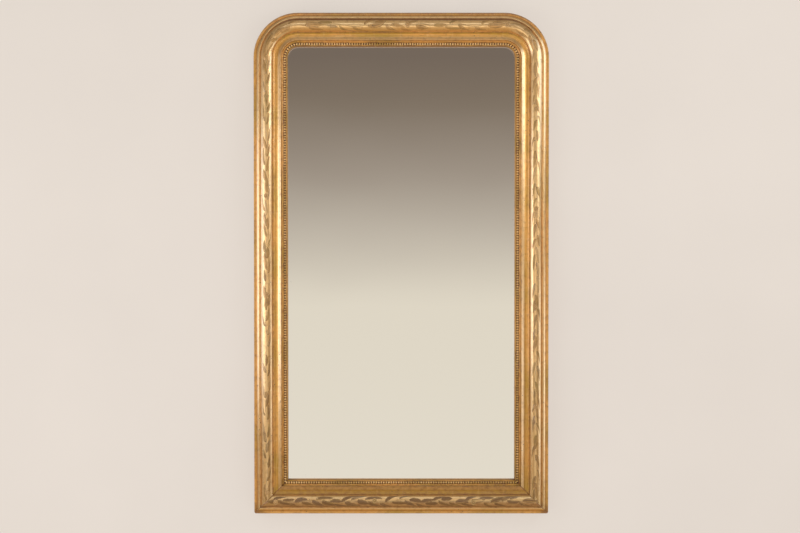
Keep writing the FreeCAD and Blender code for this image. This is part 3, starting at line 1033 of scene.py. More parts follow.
@dataclass
class TurnedRun(Run):
    """A member turned through a quarter round, with s measured along the cushion's crest."""

    centre: Array
    first: Array
    last: Array
    outer_radius: float

    def place(self, s: Array | float, u: Array | float, v: Array | float) -> Array:
        """Turn distances on the member into rows of x, y and z.

        Args:
            s: Distances along the member.
            u: Distances in from the outer edge.
            v: Heights off the wall.

        Returns:
            The places.
        """
        angle = np.asarray(s) * QUARTER / self.length
        outward = np.multiply.outer(np.cos(angle), self.first) + np.multiply.outer(np.sin(angle), self.last)
        points = self.centre + outward * (self.outer_radius - np.asarray(u))[..., None]
        points[..., 1] -= v
        return points

    def locate(self, points: Array) -> tuple[Array, Array, Array]:
        """Turn rows of x, y and z into distances on the member.

        Args:
            points: Rows of x, y and z.

        Returns:
            Distances along the member, in from the outer edge and off the wall.
        """
        from_centre = points - self.centre
        x, z = from_centre @ self.first, from_centre @ self.last
        return np.arctan2(z, x) / QUARTER * self.length, self.outer_radius - np.hypot(x, z), -points[:, 1]

    def sweep(self, rows: int) -> None:
        """Spin the selected outline through the quarter round."""
        axis = tuple(np.cross(self.last, self.first))
        bpy.ops.mesh.spin(steps=rows, angle=QUARTER, center=tuple(self.centre), axis=axis)


@dataclass
class FramePlan:
    """The mirror's plan: its size, and the runs of its members round it."""

    section: MouldingSection
    half_width: float
    height: float
    shoulder_radius: float
    foot_start: float = 10.0
    past_foot: float = 1.0
    around: list[Run] = field(default_factory=list)
    foot: Run | None = None

    def lay_out(self) -> None:
        """Lay the members from the left foot over the top to the right foot, and the foot rail."""
        x_axis, z_axis = np.array([1.0, 0.0, 0.0]), np.array([0.0, 0.0, 1.0])
        radius, half = self.shoulder_radius, self.half_width
        reach, spring = half - radius, self.height - radius
        quarter = (radius - self.section.cushion_centre[0]) * QUARTER
        plans = (
            ("left", spring, (True, False), -half, 0.0, z_axis, x_axis),
            ("shoulder_left", quarter, (False, False), -reach, spring, -x_axis, z_axis),
            ("top", 2.0 * reach, (False, False), -reach, self.height, x_axis, -z_axis),
            ("shoulder_right", quarter, (False, False), reach, spring, z_axis, x_axis),
            ("right", spring, (False, True), half, spring, -z_axis, -x_axis),
        )
        start = 0.0
        for name, length, mitred, x, z, one, other in plans:
            way = (name, start, length, mitred, np.array([x, 0.0, z]), one, other)
            turned = name.startswith("shoulder")
            self.around.append(TurnedRun(*way, radius) if turned else StraightRun(*way))
            start += length
        corner = np.array([-half, 0.0, 0.0])
        self.foot = StraightRun("bottom", self.foot_start, 2.0 * half, (True, True), corner, x_axis, z_axis)

    def members(self) -> list[Run]:
        """All six runs of the moulding."""
        return [*self.around, self.foot]

    def run_at(self, path: float) -> Run:
        """The run that a distance along the whole path falls on."""
        return next(r for r in reversed(self.members()) if path >= r.start)

    def overhead(self, path: Array) -> Array:
        """How far a place is on the top rail: from 0 on the stiles it grows round the shoulders to 1."""
        _, first, top, last, _ = self.around
        return banded(path, (first.start, 0.0), (top.start, 1.0), (last.start, 1.0), (last.end, 0.0))

    def place(self, path: Array, u: Array, v: Array) -> Array:
        """Turn distances along the whole path into rows of x, y and z; the foot rail has its own start.

        Args:
            path: Distances along the path.
            u: Distances in from the outer edge.
            v: Heights off the wall.

        Returns:
            The places.
        """
        points = np.zeros((len(path), 3))
        for run in self.members():
            before, after = (self.past_foot if cut else 0.0 for cut in run.mitred)
            on_run = (path >= run.start - before) & (path < run.end + after)
            points[on_run] = run.place(path[on_run] - run.start, u[on_run], v[on_run])
        return points


@dataclass
class GiltMouldings:
    """The six gilded members, run from one section and mitred at the foot."""

    plan: FramePlan
    row_length: float = 10.0 * MM
    least_rows: int = 12
    wave_height: float = 0.13 * MM
    slow_wave: Span = (117.0 * MM, 90.0 * MM)
    quick_wave: Span = (47.0 * MM, 50.0 * MM)
    wave_drift: float = 310.0 * MM
    corner_round: float = 6.0 * MM
    mitre_rest: float = 12.0 * MM
    mitre_soil: float = 22.0 * MM
    mitre_dirt: float = 0.6
    mitre_edge: float = 0.9 * MM
    mitre_rub: float = 0.2 * MM
    mitre_wear: float = 0.9
    mitre_sink: float = 0.8 * MM
    sink_reach: float = 0.8 * MM
    smooth_angle: float = math.radians(32.0)
    pieces: dict[str, Piece] = field(default_factory=dict)

    def run_member(self, run: Run, outline: Array) -> Piece:
        """Carry an outline along a run, as a closed solid that bears its marks.

        Args:
            run: The member's way round the frame.
            outline: The closed outline, as rows of u and v.

        Returns:
            The member.
        """
        deselect()
        bpy.ops.mesh.primitive_circle_add(vertices=len(outline), fill_type="NGON")
        piece = bpy.context.object
        write_points(piece, run.place(np.zeros(len(outline)), outline[:, 0], outline[:, 1]))
        bpy.ops.object.mode_set(mode="EDIT")
        bpy.ops.mesh.select_all(action="SELECT")
        run.sweep(max(self.least_rows, round(run.length / self.row_length)))
        bpy.ops.object.mode_set(mode="OBJECT")
        close_and_smooth(piece, self.smooth_angle, fill=False)
        self.mark(piece, run, outline)
        return piece

    def mark(self, piece: Piece, run: Run, outline: Array) -> None:
        """Store a member's marks, and make its face a little uneven, as hand-worked gesso is.

        Args:
            piece: The member.
            run: Its way round the frame.
            outline: Its outline.
        """
        section = self.plan.section
        recess, arris = section.creases(outline)
        girth = np.concatenate(([0.0], np.cumsum(np.linalg.norm(np.diff(outline, axis=0), axis=1))))
        s, u, v = run.locate(read_points(piece))
        column = np.argmin((u[:, None] - outline[:, 0]) ** 2 + (v[:, None] - outline[:, 1]) ** 2, axis=1)
        along, across = s + run.start, girth[column]
        opened = np.full(len(s), run.length)
        # The dust mark also paints shade: under the top rail's splay and lip, and on the foot cushion's half
        # that faces down
        soil = section.head_dust_and_shade(u) * self.plan.overhead(along)
        if run is self.plan.foot:
            soil = section.foot_dust_and_shade(u)
        slow = np.sin(along * TURN / self.slow_wave[0] + across * TURN / self.slow_wave[1])
        drift = 2.0 * np.sin(along * TURN / self.wave_drift)
        quick = np.sin(along * TURN / self.quick_wave[0] + drift)
        quick = quick * np.sin(across * TURN / self.quick_wave[1] + 1.3)
        calm = np.clip((v - section.back) / section.ledge_height, 0.0, 1.0)
        for far in run.from_mitres(s):
            opened = np.minimum(opened, np.abs(far - u) / ROOT_TWO)
            soil = np.maximum(soil, self.mitre_dirt * np.exp(-(((far - u) / self.mitre_soil) ** 2)))
            calm = calm * np.clip((far - u) / self.mitre_rest, 0.0, 1.0)
        in_mitre = np.clip(1.2 - opened / self.mitre_edge, 0.0, 1.0)
        beside = np.where(np.abs(opened - self.mitre_edge) < self.mitre_rub, self.mitre_wear, 0.0)
        write_marks(piece, {Mark.ALONG: along, Mark.ACROSS: across, Mark.SOIL: soil})
        # Hollows get painted shade with a brown tone; the open mitre reads as a dark joint
        write_marks(piece, {Mark.RECESS: np.maximum(recess[column], in_mitre)})
        write_marks(piece, {Mark.ARRIS: np.maximum(arris[column], beside), Mark.BURNISH: section.burnish(u)})
        v = v + self.wave_height * calm * (slow + quick)
        sunk = self.mitre_sink * np.clip(1.0 - opened / self.sink_reach, 0.0, 1.0)
        v = v - np.where(v > section.back + MM, sunk, 0.0)
        if run.mitred[0]:
            s, u = self.rounded(s, u)
        if run.mitred[1]:
            far, u = self.rounded(run.length - s, u)
            s = run.length - far
        write_points(piece, run.place(s, u, v))

    def rounded(self, s: Array, u: Array) -> tuple[Array, Array]:
        """Draw distances from two outer edges in to a quarter round, as wear and gesso leave the corner.

        Args:
            s: Distances from one outer edge.
            u: Distances from the other.

        Returns:
            The same distances, drawn in.
        """
        first, other = self.corner_round - s, self.corner_round - u
        inside = (first > 0.0) & (other > 0.0)
        draw = np.where(inside, np.maximum(first, other) / np.maximum(np.hypot(first, other), 1e-9), 1.0)
        return self.corner_round - first * draw, self.corner_round - other * draw

    def build(self) -> None:
        """Run the six members."""
        for run in self.plan.members():
            self.pieces[run.name] = self.run_member(run, self.plan.section.outline)

    def dress(self, material: Material) -> None:
        """Gild the members and let them stand for their solids.

        Args:
            material: The gilding.
        """
        for name, piece in self.pieces.items():
            node = name if name.startswith("shoulder") else f"moulding_{name}"
            seat_piece(piece, f"gilt_{node}", "gilding", material, node)


@dataclass
class RunningFoliage:
    """The foliage cut on the cushion: a swaying stem, willow leaves in turn, and small ring flowers."""

    plan: FramePlan
    sway: float = 3.5 * MM
    sway_length: float = 124.0 * MM
    sway_drift: float = 710.0 * MM
    leaf_spacing: float = 23.0 * MM
    leaf_stray: float = 7.0 * MM
    leaf_gaps: float = 0.12
    leaf_lengths: Span = (38.0 * MM, 66.0 * MM)
    leaf_widths: Span = (10.0 * MM, 17.0 * MM)
    leaf_headings: Span = (0.3, 0.75)
    leaf_bends: Span = (0.5, 0.9)
    leaf_flicks: Span = (0.0, 0.8)
    leaf_ripples: Span = (15.0, 24.0)
    ripple_depth: float = 0.1
    leaf_steps: int = 41
    leaf_relief: float = 0.45 * MM
    leaf_lift: float = 0.3 * MM
    leaf_edge: float = 0.15 * MM
    leaf_taper: Span = (0.62, 0.85)
    leaf_fullest: float = 0.367
    leaf_swell: float = 0.6
    rim_from: float = 0.9
    tip_share: float = 0.01
    rim_shade_and_toning: float = 0.95
    rib_shade_and_toning: float = 0.35
    leaf_rub: float = 0.35
    leaf_soil: Span = (0.1, 0.5)
    leaf_polish: Span = (0.7, 1.02)
    foot_dust_and_shade: float = 0.35
    foot_closeness: float = 0.78
    clean_above: float = 0.35
    midrib: float = 0.1
    midrib_depth: float = 0.3 * MM
    edge_sink: float = 0.3 * MM
    stem_width: float = 2.0 * MM
    stem_relief: float = 0.5 * MM
    stem_step: float = 5.0 * MM
    stem_shade_and_toning: float = 0.9
    crest_rub: float = 0.4
    flower_spacing: float = 310.0 * MM
    flower_radius: float = 5.2 * MM
    flower_wire: float = 2.4 * MM
    flower_flatness: float = 0.55
    flower_side: float = -0.75
    flower_shade_and_toning: Span = (0.8, 0.1)
    boss_radius: float = 3.0 * MM
    field_limit: float = 14.0 * MM
    rail_spread: float = 1.4
    end_margin: float = 34.0 * MM
    seed: int = 7
    smooth_angle: float = math.radians(50.0)
    pieces: dict[str, Piece] = field(default_factory=dict)

    def cut_on(self, piece: Piece, path: Array, t: Array, height: Array) -> None:
        """Lay a mesh's points on the cushion and store where they lie.

        Args:
            piece: The mesh object.
            path: Each point's distance along the whole path.
            t: Its distance from the cushion's crest, round the cushion.
            height: Its height over the cushion.
        """
        section = self.plan.section
        centre_u, centre_v = section.cushion_centre
        inside = self.field_limit * np.tanh(t / self.field_limit) * self.spread_at(path)
        angle, radius = inside / section.cushion_radius, section.cushion_radius + height
        points = self.plan.place(path, centre_u + radius * np.sin(angle), centre_v + radius * np.cos(angle))
        write_points(piece, points)
        write_marks(piece, {Mark.ALONG: path, Mark.ACROSS: t})

    def spread_at(self, path: Array) -> Array:
        """How much wider the foliage spreads at a place: it opens round the shoulders on to the rails."""
        around = 1.0 + (self.rail_spread - 1.0) * self.plan.overhead(path)
        return np.where(path < self.plan.foot.start - self.plan.past_foot, around, self.rail_spread)

    def stem_at(self, path: Array | float) -> Array | float:
        """The stem's distance from the crest at a place along the path."""
        drift = 0.8 * np.sin(path * TURN / self.sway_drift)
        return self.sway * np.sin(path * TURN / self.sway_length + drift)

    def blank_leaf(self) -> Piece:
        """A flat leaf of a few dozen faces, from -1 to 1 both ways, which the leaves are copies of.

        Returns:
            The flat leaf.
        """
        deselect()
        bpy.ops.mesh.primitive_grid_add(x_subdivisions=10, y_subdivisions=4, size=2.0)
        return bpy.context.object

    def leaf(self, blank: Piece, path: float, side: int, rng: np.random.Generator) -> Piece:
        """Cut one leaf beside the stem.

        Args:
            blank: The flat leaf.
            path: Where the leaf leaves the stem.
            side: Which side it grows to.
            rng: The source of its small differences.

        Returns:
            The leaf.
        """
        piece = copy_piece(blank)
        grid = read_points(blank)
        a, b = (grid[:, 0] + 1.0) / 2.0, grid[:, 1]
        slope = (self.stem_at(path + MM) - self.stem_at(path - MM)) / (2.0 * MM)
        length = rng.uniform(*self.leaf_lengths)
        half = rng.uniform(*self.leaf_widths) / 2.0
        heading = math.atan(slope) + side * rng.uniform(*self.leaf_headings)
        bend, flick = -side * rng.uniform(*self.leaf_bends), side * rng.uniform(*self.leaf_flicks)
        fine = np.linspace(0.0, 1.0, self.leaf_steps)
        turn = heading + bend * fine + flick * fine**3
        angle = np.interp(a, fine, turn)
        middle = path + np.interp(a, fine, np.cumsum(np.cos(turn)) * length / len(fine))
        off = self.stem_at(path) + np.interp(a, fine, np.cumsum(np.sin(turn)) * length / len(fine))

        # A willow leaf: widest below the middle, with a rippled edge and a sunk midrib
        base, tip = self.leaf_taper
        full = np.power(a, base) * np.power(1.0 - a, tip) / self.leaf_fullest
        ripple = np.sin(a * rng.uniform(*self.leaf_ripples) + rng.uniform(0.0, TURN))
        breadth = half * full * (1.0 + self.ripple_depth * ripple) + self.leaf_edge
        swell = np.sin(math.pi * np.clip(a, 0.0, 1.0)) ** self.leaf_swell
        rib = np.abs(b) < self.midrib
        raised = (self.leaf_relief - np.where(rib, self.midrib_depth, 0.0)) * swell * (1.0 - b**4)
        height = raised + rng.uniform(0.0, self.leaf_lift)
        rim = (np.abs(b) > self.rim_from) | (a < self.tip_share) | (a > 1.0 - self.tip_share)
        height = np.where(rim, -self.edge_sink, height)
        self.cut_on(piece, middle - np.sin(angle) * breadth * b, off + np.cos(angle) * breadth * b, height)

        polish_and_highlight = rng.uniform(*self.leaf_polish)
        # Leaves on the foot rail are darker still, with dust and painted shade
        dust = rng.uniform(*self.leaf_soil) + (self.foot_dust_and_shade if path >= self.plan.foot.start else 0.0)
        rise = float(read_points(piece)[:, 2].mean()) / self.plan.height
        # Painted shade, with a brown tone, along each leaf's cut rim and sunk midrib
        recess = np.where(rim, self.rim_shade_and_toning, np.where(rib, self.rib_shade_and_toning, 0.0))
        arris = np.where(rim | rib, 0.0, self.leaf_rub)
        write_marks(piece, {Mark.RECESS: recess, Mark.ARRIS: arris, Mark.BURNISH: polish_and_highlight})
        write_marks(piece, {Mark.SOIL: max(0.0, dust - self.clean_above * rise)})
        return piece

    def stem(self, first: float, last: float) -> Piece:
        """Cut the stem along part of the path.

        Args:
            first: Where it starts.
            last: Where it ends.

        Returns:
            The stem.
        """
        deselect()
        rows = max(8, round((last - first) / self.stem_step))
        bpy.ops.mesh.primitive_grid_add(x_subdivisions=rows, y_subdivisions=2, size=2.0)
        piece = bpy.context.object
        grid = read_points(piece)
        path = first + (last - first) * (grid[:, 0] + 1.0) / 2.0
        crest = np.abs(grid[:, 1]) < 0.5
        t = self.stem_at(path) + grid[:, 1] * self.stem_width / 2.0
        self.cut_on(piece, path, t, np.where(crest, self.stem_relief, -self.edge_sink))
        # The stem's sunk edges get painted shade with a brown tone; its crest is rubbed
        recess, arris = np.where(crest, 0.0, self.stem_shade_and_toning), np.where(crest, self.crest_rub, 0.0)
        write_marks(piece, {Mark.RECESS: recess, Mark.ARRIS: arris})
        return piece

    def flower(self, path: float) -> Piece:
        """Cut one ring flower with a boss, beside the stem's turn.

        Args:
            path: Where the flower lies along the path.

        Returns:
            The flower.
        """
        deselect()
        ring = {"major_radius": self.flower_radius, "minor_radius": self.flower_wire}
        bpy.ops.mesh.primitive_torus_add(major_segments=12, minor_segments=6, **ring)
        petals = bpy.context.object
        deselect()
        bpy.ops.mesh.primitive_uv_sphere_add(segments=8, ring_count=6, radius=self.boss_radius)
        piece = join_pieces([petals, bpy.context.object])
        x, y, z = read_points(piece).T
        off = self.flower_side * float(self.stem_at(path))
        self.cut_on(piece, path + x, off + y, self.flower_flatness * z)
        rise = z / self.flower_wire
        # Painted shade, with a brown tone, at the flower's foot; its top is rubbed
        recess, arris = np.where(rise < 0.3, *self.flower_shade_and_toning), np.where(rise > 0.5, self.crest_rub, 0.0)
        write_marks(piece, {Mark.RECESS: recess, Mark.ARRIS: arris})
        return piece

    def build(self) -> None:
        """Cut the stem, leaves and flowers, and gather them by the member that they lie on."""
        rng = np.random.default_rng(self.seed)
        gathered: dict[str, list[Piece]] = {run.name: [] for run in self.plan.members()}
        blank = self.blank_leaf()
        foot, margin = self.plan.foot, self.end_margin
        around = (0.0, self.plan.around[-1].end, self.leaf_spacing)
        for first, last, spacing in (around, (foot.start, foot.end, self.leaf_spacing * self.foot_closeness)):
            side = 1
            for path in np.arange(first + margin, last - 2.0 * margin, spacing):
                side = -side
                if rng.random() < self.leaf_gaps:
                    continue
                grown = self.leaf(blank, path + rng.uniform(-self.leaf_stray, self.leaf_stray), side, rng)
                gathered[self.plan.run_at(path).name].append(grown)
            for path in np.arange(first + 2.0 * margin, last - 2.0 * margin, self.flower_spacing):
                gathered[self.plan.run_at(path).name].append(self.flower(path))
        for run in self.plan.members():
            first, last = (margin if cut else 0.0 for cut in run.mitred)
            gathered[run.name].append(self.stem(run.start + first, run.end - last))
            self.pieces[run.name] = join_pieces(gathered[run.name])
            close_and_smooth(self.pieces[run.name], self.smooth_angle)
        bpy.data.objects.remove(blank)

    def dress(self, material: Material) -> None:
        """Gild the foliage."""
        for name, piece in self.pieces.items():
            seat_piece(piece, f"cut_foliage_{name}", "gilding", material)


@dataclass
class PearlSlips:
    """The pearls beside the sight, single half-rounds on a thin strip in the bead bed."""

    plan: FramePlan
    mouldings: GiltMouldings
    pearl_radius: float = 3.75 * MM
    pearl_length: float = 3.0 * MM
    pearl_height: float = 5.2 * MM
    pearl_pitch: float = 7.85 * MM
    unevenness: float = 0.05
    seed: int = 11
    smooth_angle: float = math.radians(60.0)
    pieces: dict[str, Piece] = field(default_factory=dict)

    def blank_pearl(self) -> Piece:
        """A half-round of a few dozen faces, standing off the wall, which the pearls are copies of.

        Returns:
            The half-round.
        """
        deselect()
        bpy.ops.mesh.primitive_uv_sphere_add(segments=12, ring_count=8, radius=self.pearl_radius)
        blank = bpy.context.object
        bpy.ops.object.mode_set(mode="EDIT")
        bpy.ops.mesh.select_all(action="SELECT")
        bpy.ops.mesh.bisect(plane_co=(0, 0, 0), plane_no=(0, 0, -1), use_fill=True, clear_outer=True)
        bpy.ops.object.mode_set(mode="OBJECT")
        x, y, z = read_points(blank).T
        write_points(blank, np.stack((x, -z * self.pearl_height / self.pearl_radius, y), axis=1))
        rise = z / self.pearl_radius
        write_marks(blank, {Mark.ALONG: 0.0, Mark.ACROSS: 0.0})
        # Painted shade, with a brown tone, towards each pearl's foot; its top is rubbed
        write_marks(blank, {Mark.RECESS: np.clip(0.8 - 1.5 * rise, 0.0, 1.0), Mark.ARRIS: 0.4 * (rise > 0.9)})
        return blank

    def pearls(self, run: Run, blank: Piece, rng: np.random.Generator) -> list[Piece]:
        """Set a row of pearls along a run.

        Args:
            run: The member that carries them.
            blank: The pearl that they are copies of.
            rng: The source of their small differences.

        Returns:
            The pearls.
        """
        section = self.plan.section
        line, floor = section.pearl_line, section.bed_floor + section.slip_thickness
        first = line if run.mitred[0] else 0.0
        last = run.length - (line if run.mitred[1] else 0.0)
        scale = 1.0
        if isinstance(run, TurnedRun):
            scale = (run.outer_radius - line) * QUARTER / run.length
        count = round((last - first) * scale / self.pearl_pitch)
        made = []
        for index in range(count):
            s = first + (last - first) * (index + 0.5) / count
            piece = copy_piece(blank)
            dome = read_points(blank) * (1.0 + self.unevenness * rng.uniform(-1.0, 0.0, size=3))
            ahead = run.place(s + MM, line, 0.0) - run.place(s, line, 0.0)
            ahead = ahead / np.linalg.norm(ahead)
            squeeze = 1.0 - self.pearl_length / self.pearl_radius
            dome = dome - np.outer(dome @ ahead, ahead) * squeeze
            write_points(piece, dome + run.place(s, line, floor))
            write_marks(piece, {Mark.ALONG: run.start + s + dome[:, 0], Mark.ACROSS: line + dome[:, 2]})
            made.append(piece)
        return made

    def build(self) -> None:
        """Set the pearls on their strips; the top slip goes round both shoulders."""
        rng = np.random.default_rng(self.seed)
        blank = self.blank_pearl()
        outline = self.plan.section.slip_outline()
        gathered: dict[str, list[Piece]] = {}
        for run in self.plan.members():
            slip = "top" if run.name.startswith("shoulder") else run.name
            strip = self.mouldings.run_member(run, outline)
            # The strip between the pearls is painted dark all over, as painted shade with a brown tone
            write_marks(strip, {Mark.RECESS: 1.0})
            gathered.setdefault(slip, []).extend([strip, *self.pearls(run, blank, rng)])
        for slip, parts in gathered.items():
            self.pieces[slip] = join_pieces(parts)
            close_and_smooth(self.pieces[slip], self.smooth_angle)
        bpy.data.objects.remove(blank)

    def dress(self, material: Material) -> None:
        """Gild the pearls and let them stand for their slips."""
        for name, piece in self.pieces.items():
            seat_piece(piece, f"pearl_slip_{name}", "gilded_pearls", material, f"bead_slip_{name}")


@dataclass
class PlateAndBlocks:
    """The silvered plate and the blocks behind it."""

    plate: str = "mirror_plate"
    blocks: str = "glass_blocks"

    def dress(self, block_wood: Material) -> None:
        """Silver the plate and finish its blocks.

        Args:
            block_wood: The blocks' finish.
        """
        low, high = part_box(self.plate)
        silver = SilveredPlate("silvered_plate_glass", half_width=high.x, low=low.z, high=high.z)
        dress_nodes(silver.material(), self.plate)
        dress_nodes(block_wood, self.blocks)


@dataclass
class BackFrame:
    """The half-lapped pine frame behind the moulding, with its pegs."""

    stiles: tuple[str, ...] = ("back_stile_left", "back_stile_right")
    rails: tuple[str, ...] = ("back_rail_top", "back_rail_bottom")
    pegs: str = "lap_pegs"

    def dress(self) -> None:
        """Finish each bar with its grain along it, and the pegs with theirs through the frame."""
        peg = AgedPine("beech_pegs", Grain.ALONG_Y, spring_wood="#8F6A43", summer_wood="#5C3E24")
        dress_nodes(AgedPine("aged_pine_upright", Grain.ALONG_Z).material(), *self.stiles)
        dress_nodes(AgedPine("aged_pine_level", Grain.ALONG_X).material(), *self.rails)
        dress_nodes(peg.material(), self.pegs)


@dataclass
class Backboards:
    """The boards nailed across the back, in turn from three planks."""

    count: int = 6
    nails: str = "backboard_nails"
    woods: tuple[tuple[str, str, float], ...] = (
        ("#A27B4F", "#70502F", 8.0 * MM),
        ("#94704A", "#634429", 10.0 * MM),
        ("#AB8456", "#7A5834", 12.0 * MM),
    )

    def dress(self, iron: Material) -> None:
        """Finish the boards in turn from three planks, and the nails in iron.

        Args:
            iron: The nails' finish.
        """
        planks = []
        for index, (spring, summer, rings) in enumerate(self.woods):
            name = f"sawn_pine_plank_{index + 1}"
            planks.append(AgedPine(name, Grain.ALONG_X, spring, summer, ring_spacing=rings).material())
        for index in range(self.count):
            dress_nodes(planks[index % len(planks)], f"backboard_{index + 1}")
        dress_nodes(iron, self.nails)


@dataclass
class Hangers:
    """The rolled straps, their rings and their screws."""

    straps: tuple[str, ...] = ("hanger_strap_left", "hanger_strap_right")
    rings: tuple[str, ...] = ("hanger_ring_left", "hanger_ring_right")
    screws: str = "hanger_screws"

    def dress(self, iron: Material) -> None:
        """Finish the hangers in iron."""
        dress_nodes(iron, *self.straps, *self.rings, self.screws)


@dataclass
class Lamp:
    """A soft panel lamp: where it stands, what it looks at, its size, power and tint."""

    name: str
    place: Place
    target: Place
    size: Span
    power: float
    tint: str
    spares: tuple[str, ...] = ()

    def build(self) -> None:
        """Set up the lamp, unseen by the camera itself."""
        turn = (Vector(self.target) - Vector(self.place)).to_track_quat("-Z", "Y").to_euler()
        deselect()
        bpy.ops.object.light_add(type="AREA", location=self.place, rotation=turn)
        lamp = bpy.context.object
        lamp.name = self.name
        lamp.data.shape = "RECTANGLE"
        lamp.data.size, lamp.data.size_y = self.size
        lamp.data.energy = self.power
        lamp.data.color = linear(self.tint)[:3]
        lamp.visible_camera = False
        if self.spares:
            spared = bpy.data.collections.new(f"spared_by_{self.name}")
            for name in self.spares:
                spared.objects.link(bpy.data.objects[name])
            for link in spared.collection_objects:
                link.light_linking.link_state = "EXCLUDE"
            lamp.light_linking.receiver_collection = spared


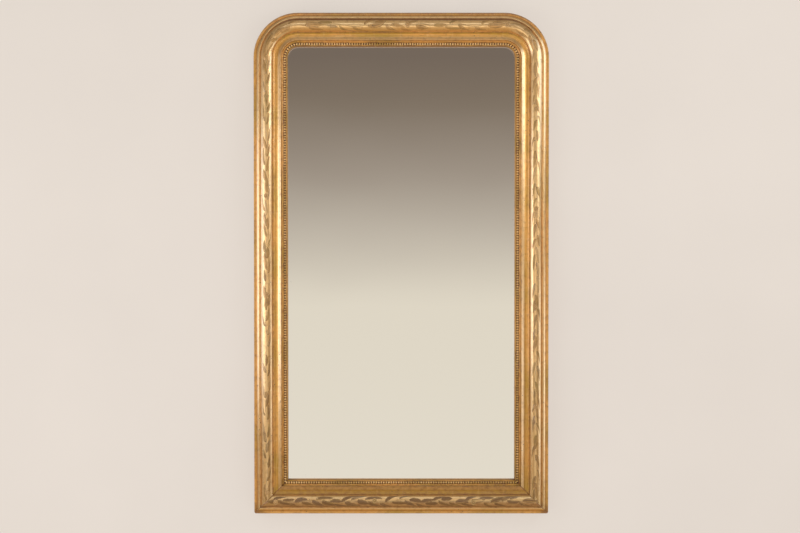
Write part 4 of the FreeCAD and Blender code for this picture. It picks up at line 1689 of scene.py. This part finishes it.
@dataclass
class Studio:
    """A plain pale wall and floor, soft panel lamps, the room's tone for gloss, and the camera."""

    floor_drop: float = 0.35
    wall_gap: float = 1.5 * MM
    wall_width: float = 14.0
    wall_height: float = 7.0
    camera_place: Place = (-0.004, -5.048, 0.885)
    camera_dip: float = math.radians(1.24)
    lens: float = 71.7
    sensor: float = 36.0
    fill_light: str = "#F4F1EC"
    fill_strength: float = 0.55
    backdrop: str = "#DFD6CD"
    beside: Span = (0.14, 0.45)
    side_tones: tuple[tuple[float, str], ...] = (
        (0.0, "#D2C7B6"), (0.34, "#C4B6A2"), (0.44, "#9A7E5C"),
        (0.55, "#B8ADA0"), (0.8, "#9A9083"), (1.0, "#A89E92"),
    )
    room_tones: tuple[tuple[float, str], ...] = (
        (0.0, "#C6A678"), (0.2, "#D6BE9A"), (0.33, "#E0D0B6"), (0.41, "#F1ECE2"),
        (0.478, "#ECE6DA"), (0.502, "#C6BEB4"), (0.517, "#AAA096"), (0.541, "#867A6E"),
        (0.556, "#7A6E65"), (0.61, "#8C8278"), (0.72, "#B6AA9A"), (1.0, "#BCB1A2"),
    )

    def lamps(self) -> list[Lamp]:
        """The lamps: a window each side, the room's bounce from the front, and one behind for the back.

        Returns:
            The lamps, not yet set up.
        """
        spare = (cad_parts["mirror_plate"].name, "studio_wall")
        return [
            Lamp("window_left", (-2.5, -0.75, 0.76), (0.0, -0.75, 0.76), (2.7, 1.15), 19.0, "#C8DAFF", spare),
            Lamp("room_left", (-1.6, -1.5, 0.76), (-0.3, 0.0, 0.76), (1.3, 1.2), 8.0, "#F4F6F8", spare[:1]),
            Lamp("room_right", (1.6, -1.5, 1.5), (0.3, 0.0, 1.5), (1.3, 0.9), 8.5, "#F4F6F8", spare[:1]),
            Lamp("window_right", (2.5, -0.6, 1.95), (0.0, -0.6, 1.95), (2.2, 1.3), 18.0, "#C4DDFF", spare),
            Lamp("ceiling", (0.0, -2.4, 2.9), (0.0, 0.0, 0.8), (2.6, 0.9), 8.0, "#E4ECF8", spare),
            Lamp("room_front", (0.0, -3.0, 0.9), (0.0, 0.0, 0.9), (1.8, 1.3), 4.4, "#FFF4E6", spare),
            Lamp("door_right", (2.4, -0.7, 0.25), (0.0, -0.7, 0.25), (1.6, 0.9), 7.0, "#DCEAFF", spare),
            Lamp("behind", (0.0, 3.2, 2.0), (0.0, 0.0, 0.8), (3.0, 2.2), 70.0, "#FFFAF3"),
        ]

    def sheet(self, name: str, height: float, place: Place, tilt: float) -> Piece:
        """Lay a wide flat sheet, with its turn and size taken into its mesh.

        Args:
            name: The sheet's name.
            height: Its size across its width.
            place: Its middle.
            tilt: Its turn about X, in radians.

        Returns:
            The sheet.
        """
        deselect()
        bpy.ops.mesh.primitive_plane_add(size=1.0, location=place, rotation=(tilt, 0.0, 0.0))
        ground = bpy.context.object
        ground.name = name
        ground.scale = (self.wall_width, height, 1.0)
        bpy.ops.object.transform_apply(location=True, rotation=True, scale=True)
        return ground

    def build(self) -> None:
        """Set up the wall, floor, lamps, world and camera."""
        paint = StudioPaint("matt_studio_paint", self.backdrop).material()
        middle = self.wall_height / 2.0 - self.floor_drop
        wall = self.sheet("studio_wall", self.wall_height, (0.0, self.wall_gap, middle), QUARTER)
        wall.visible_diffuse = wall.visible_shadow = wall.visible_transmission = wall.visible_glossy = False
        floor = self.sheet("studio_floor", self.wall_width, (0.0, 0.0, -self.floor_drop), 0.0)
        floor.visible_glossy = False
        for ground in (wall, floor):
            ground.data.materials.append(paint)
        for lamp in self.lamps():
            lamp.build()
        self.light_room()
        self.set_camera()

    def light_room(self) -> None:
        """Light the room evenly, with a pale backdrop, and give gloss a pale floor under a darker room."""
        world = bpy.data.worlds.new("studio_room")
        bpy.context.scene.world = world
        world.use_nodes = True
        tree = world.node_tree
        tree.nodes.clear()
        ways = add_node(tree, "LightPath").outputs
        bearing = add_node(tree, "SeparateXYZ", {0: add_node(tree, "TexCoord").outputs["Generated"]}).outputs
        level = add_node(tree, "MapRange", {"Value": bearing["Z"], "From Min": -1.0, "From Max": 1.0})
        views = []
        for tones in (self.room_tones, self.side_tones):
            view = add_node(tree, "ValToRGB", {0: level})
            ramp = view.color_ramp.elements
            for index, (spot, tone) in enumerate(tones):
                stop = ramp[index] if index < len(ramp) else ramp.new(spot)
                stop.position = spot
                stop.color = linear(tone)
            views.append(view)
        sideways = add_node(tree, "Math", {0: bearing["X"]}, operation="ABSOLUTE")
        first, last = self.beside
        beside = add_node(tree, "MapRange", {"Value": sideways, "From Min": first, "From Max": last})
        around = add_node(tree, "Mix", {"Factor": beside, "A": views[0], "B": views[1]}, data_type="RGBA")
        filling = {"Color": linear(self.fill_light), "Strength": self.fill_strength}
        fill = add_node(tree, "Background", filling)
        room = add_node(tree, "Background", {"Color": around, "Strength": 1.0})
        pale = add_node(tree, "Background", {"Color": linear(self.backdrop), "Strength": 1.0})
        glossy = add_node(tree, "MixShader", {0: ways["Is Glossy Ray"], 1: fill, 2: room})
        seen = add_node(tree, "MixShader", {0: ways["Is Camera Ray"], 1: glossy, 2: pale})
        add_node(tree, "OutputWorld", {"Surface": seen})

    def set_camera(self) -> None:
        """Set the camera where the photograph was taken from."""
        deselect()
        bpy.ops.object.camera_add(location=self.camera_place, rotation=(QUARTER - self.camera_dip, 0.0, 0.0))
        camera = bpy.context.object
        camera.data.lens = self.lens
        camera.data.sensor_width = self.sensor
        bpy.context.scene.camera = camera
        bpy.context.scene.view_settings.view_transform = "Standard"


def main() -> None:
    """Build the mirror's pieces in order, dress them and set up the studio."""
    logging.basicConfig(level=logging.INFO, format="%(name)s: %(message)s")
    shoulder_low, shoulder_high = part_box("shoulder_left")
    lowest, highest = cad_box
    plan = FramePlan(MouldingSection(), highest.x, highest.z, shoulder_high.x - shoulder_low.x)
    plan.lay_out()

    burnished = WaterGilding("burnished_water_gilding").material()
    matt = WaterGilding(
        "matt_water_gilding",
        gold="#C69A5E",
        pale_gold_and_highlight="#DAB680",
        green_gold="#AE9050",
        toning_and_shade="#7C5830",
        roughness=0.36,
        toning_and_shade_level=0.36,
        rub_level=1.2,
        coat=0.6,
    ).material()
    # The pearls' gold is painted paler than the moulding's, as painted light, because the fillets beside them
    # shade them
    pearl_gold_painted_lighter = WaterGilding("pearl_gilding_painted_lighter", gold="#F4CC86", toning_and_shade="#5E3D20", toning_and_shade_level=0.1).material()
    iron = WroughtIron("wrought_iron").material()

    mouldings = GiltMouldings(plan)
    mouldings.build()
    mouldings.dress(burnished)
    foliage = RunningFoliage(plan)
    foliage.build()
    foliage.dress(matt)
    pearls = PearlSlips(plan, mouldings)
    pearls.build()
    pearls.dress(pearl_gold_painted_lighter)
    PlateAndBlocks().dress(AgedPine("pine_glass_blocks", Grain.ALONG_Z).material())
    BackFrame().dress()
    Backboards().dress(iron)
    Hangers().dress(iron)
    Studio().build()


if __name__ == "__main__":
    main()
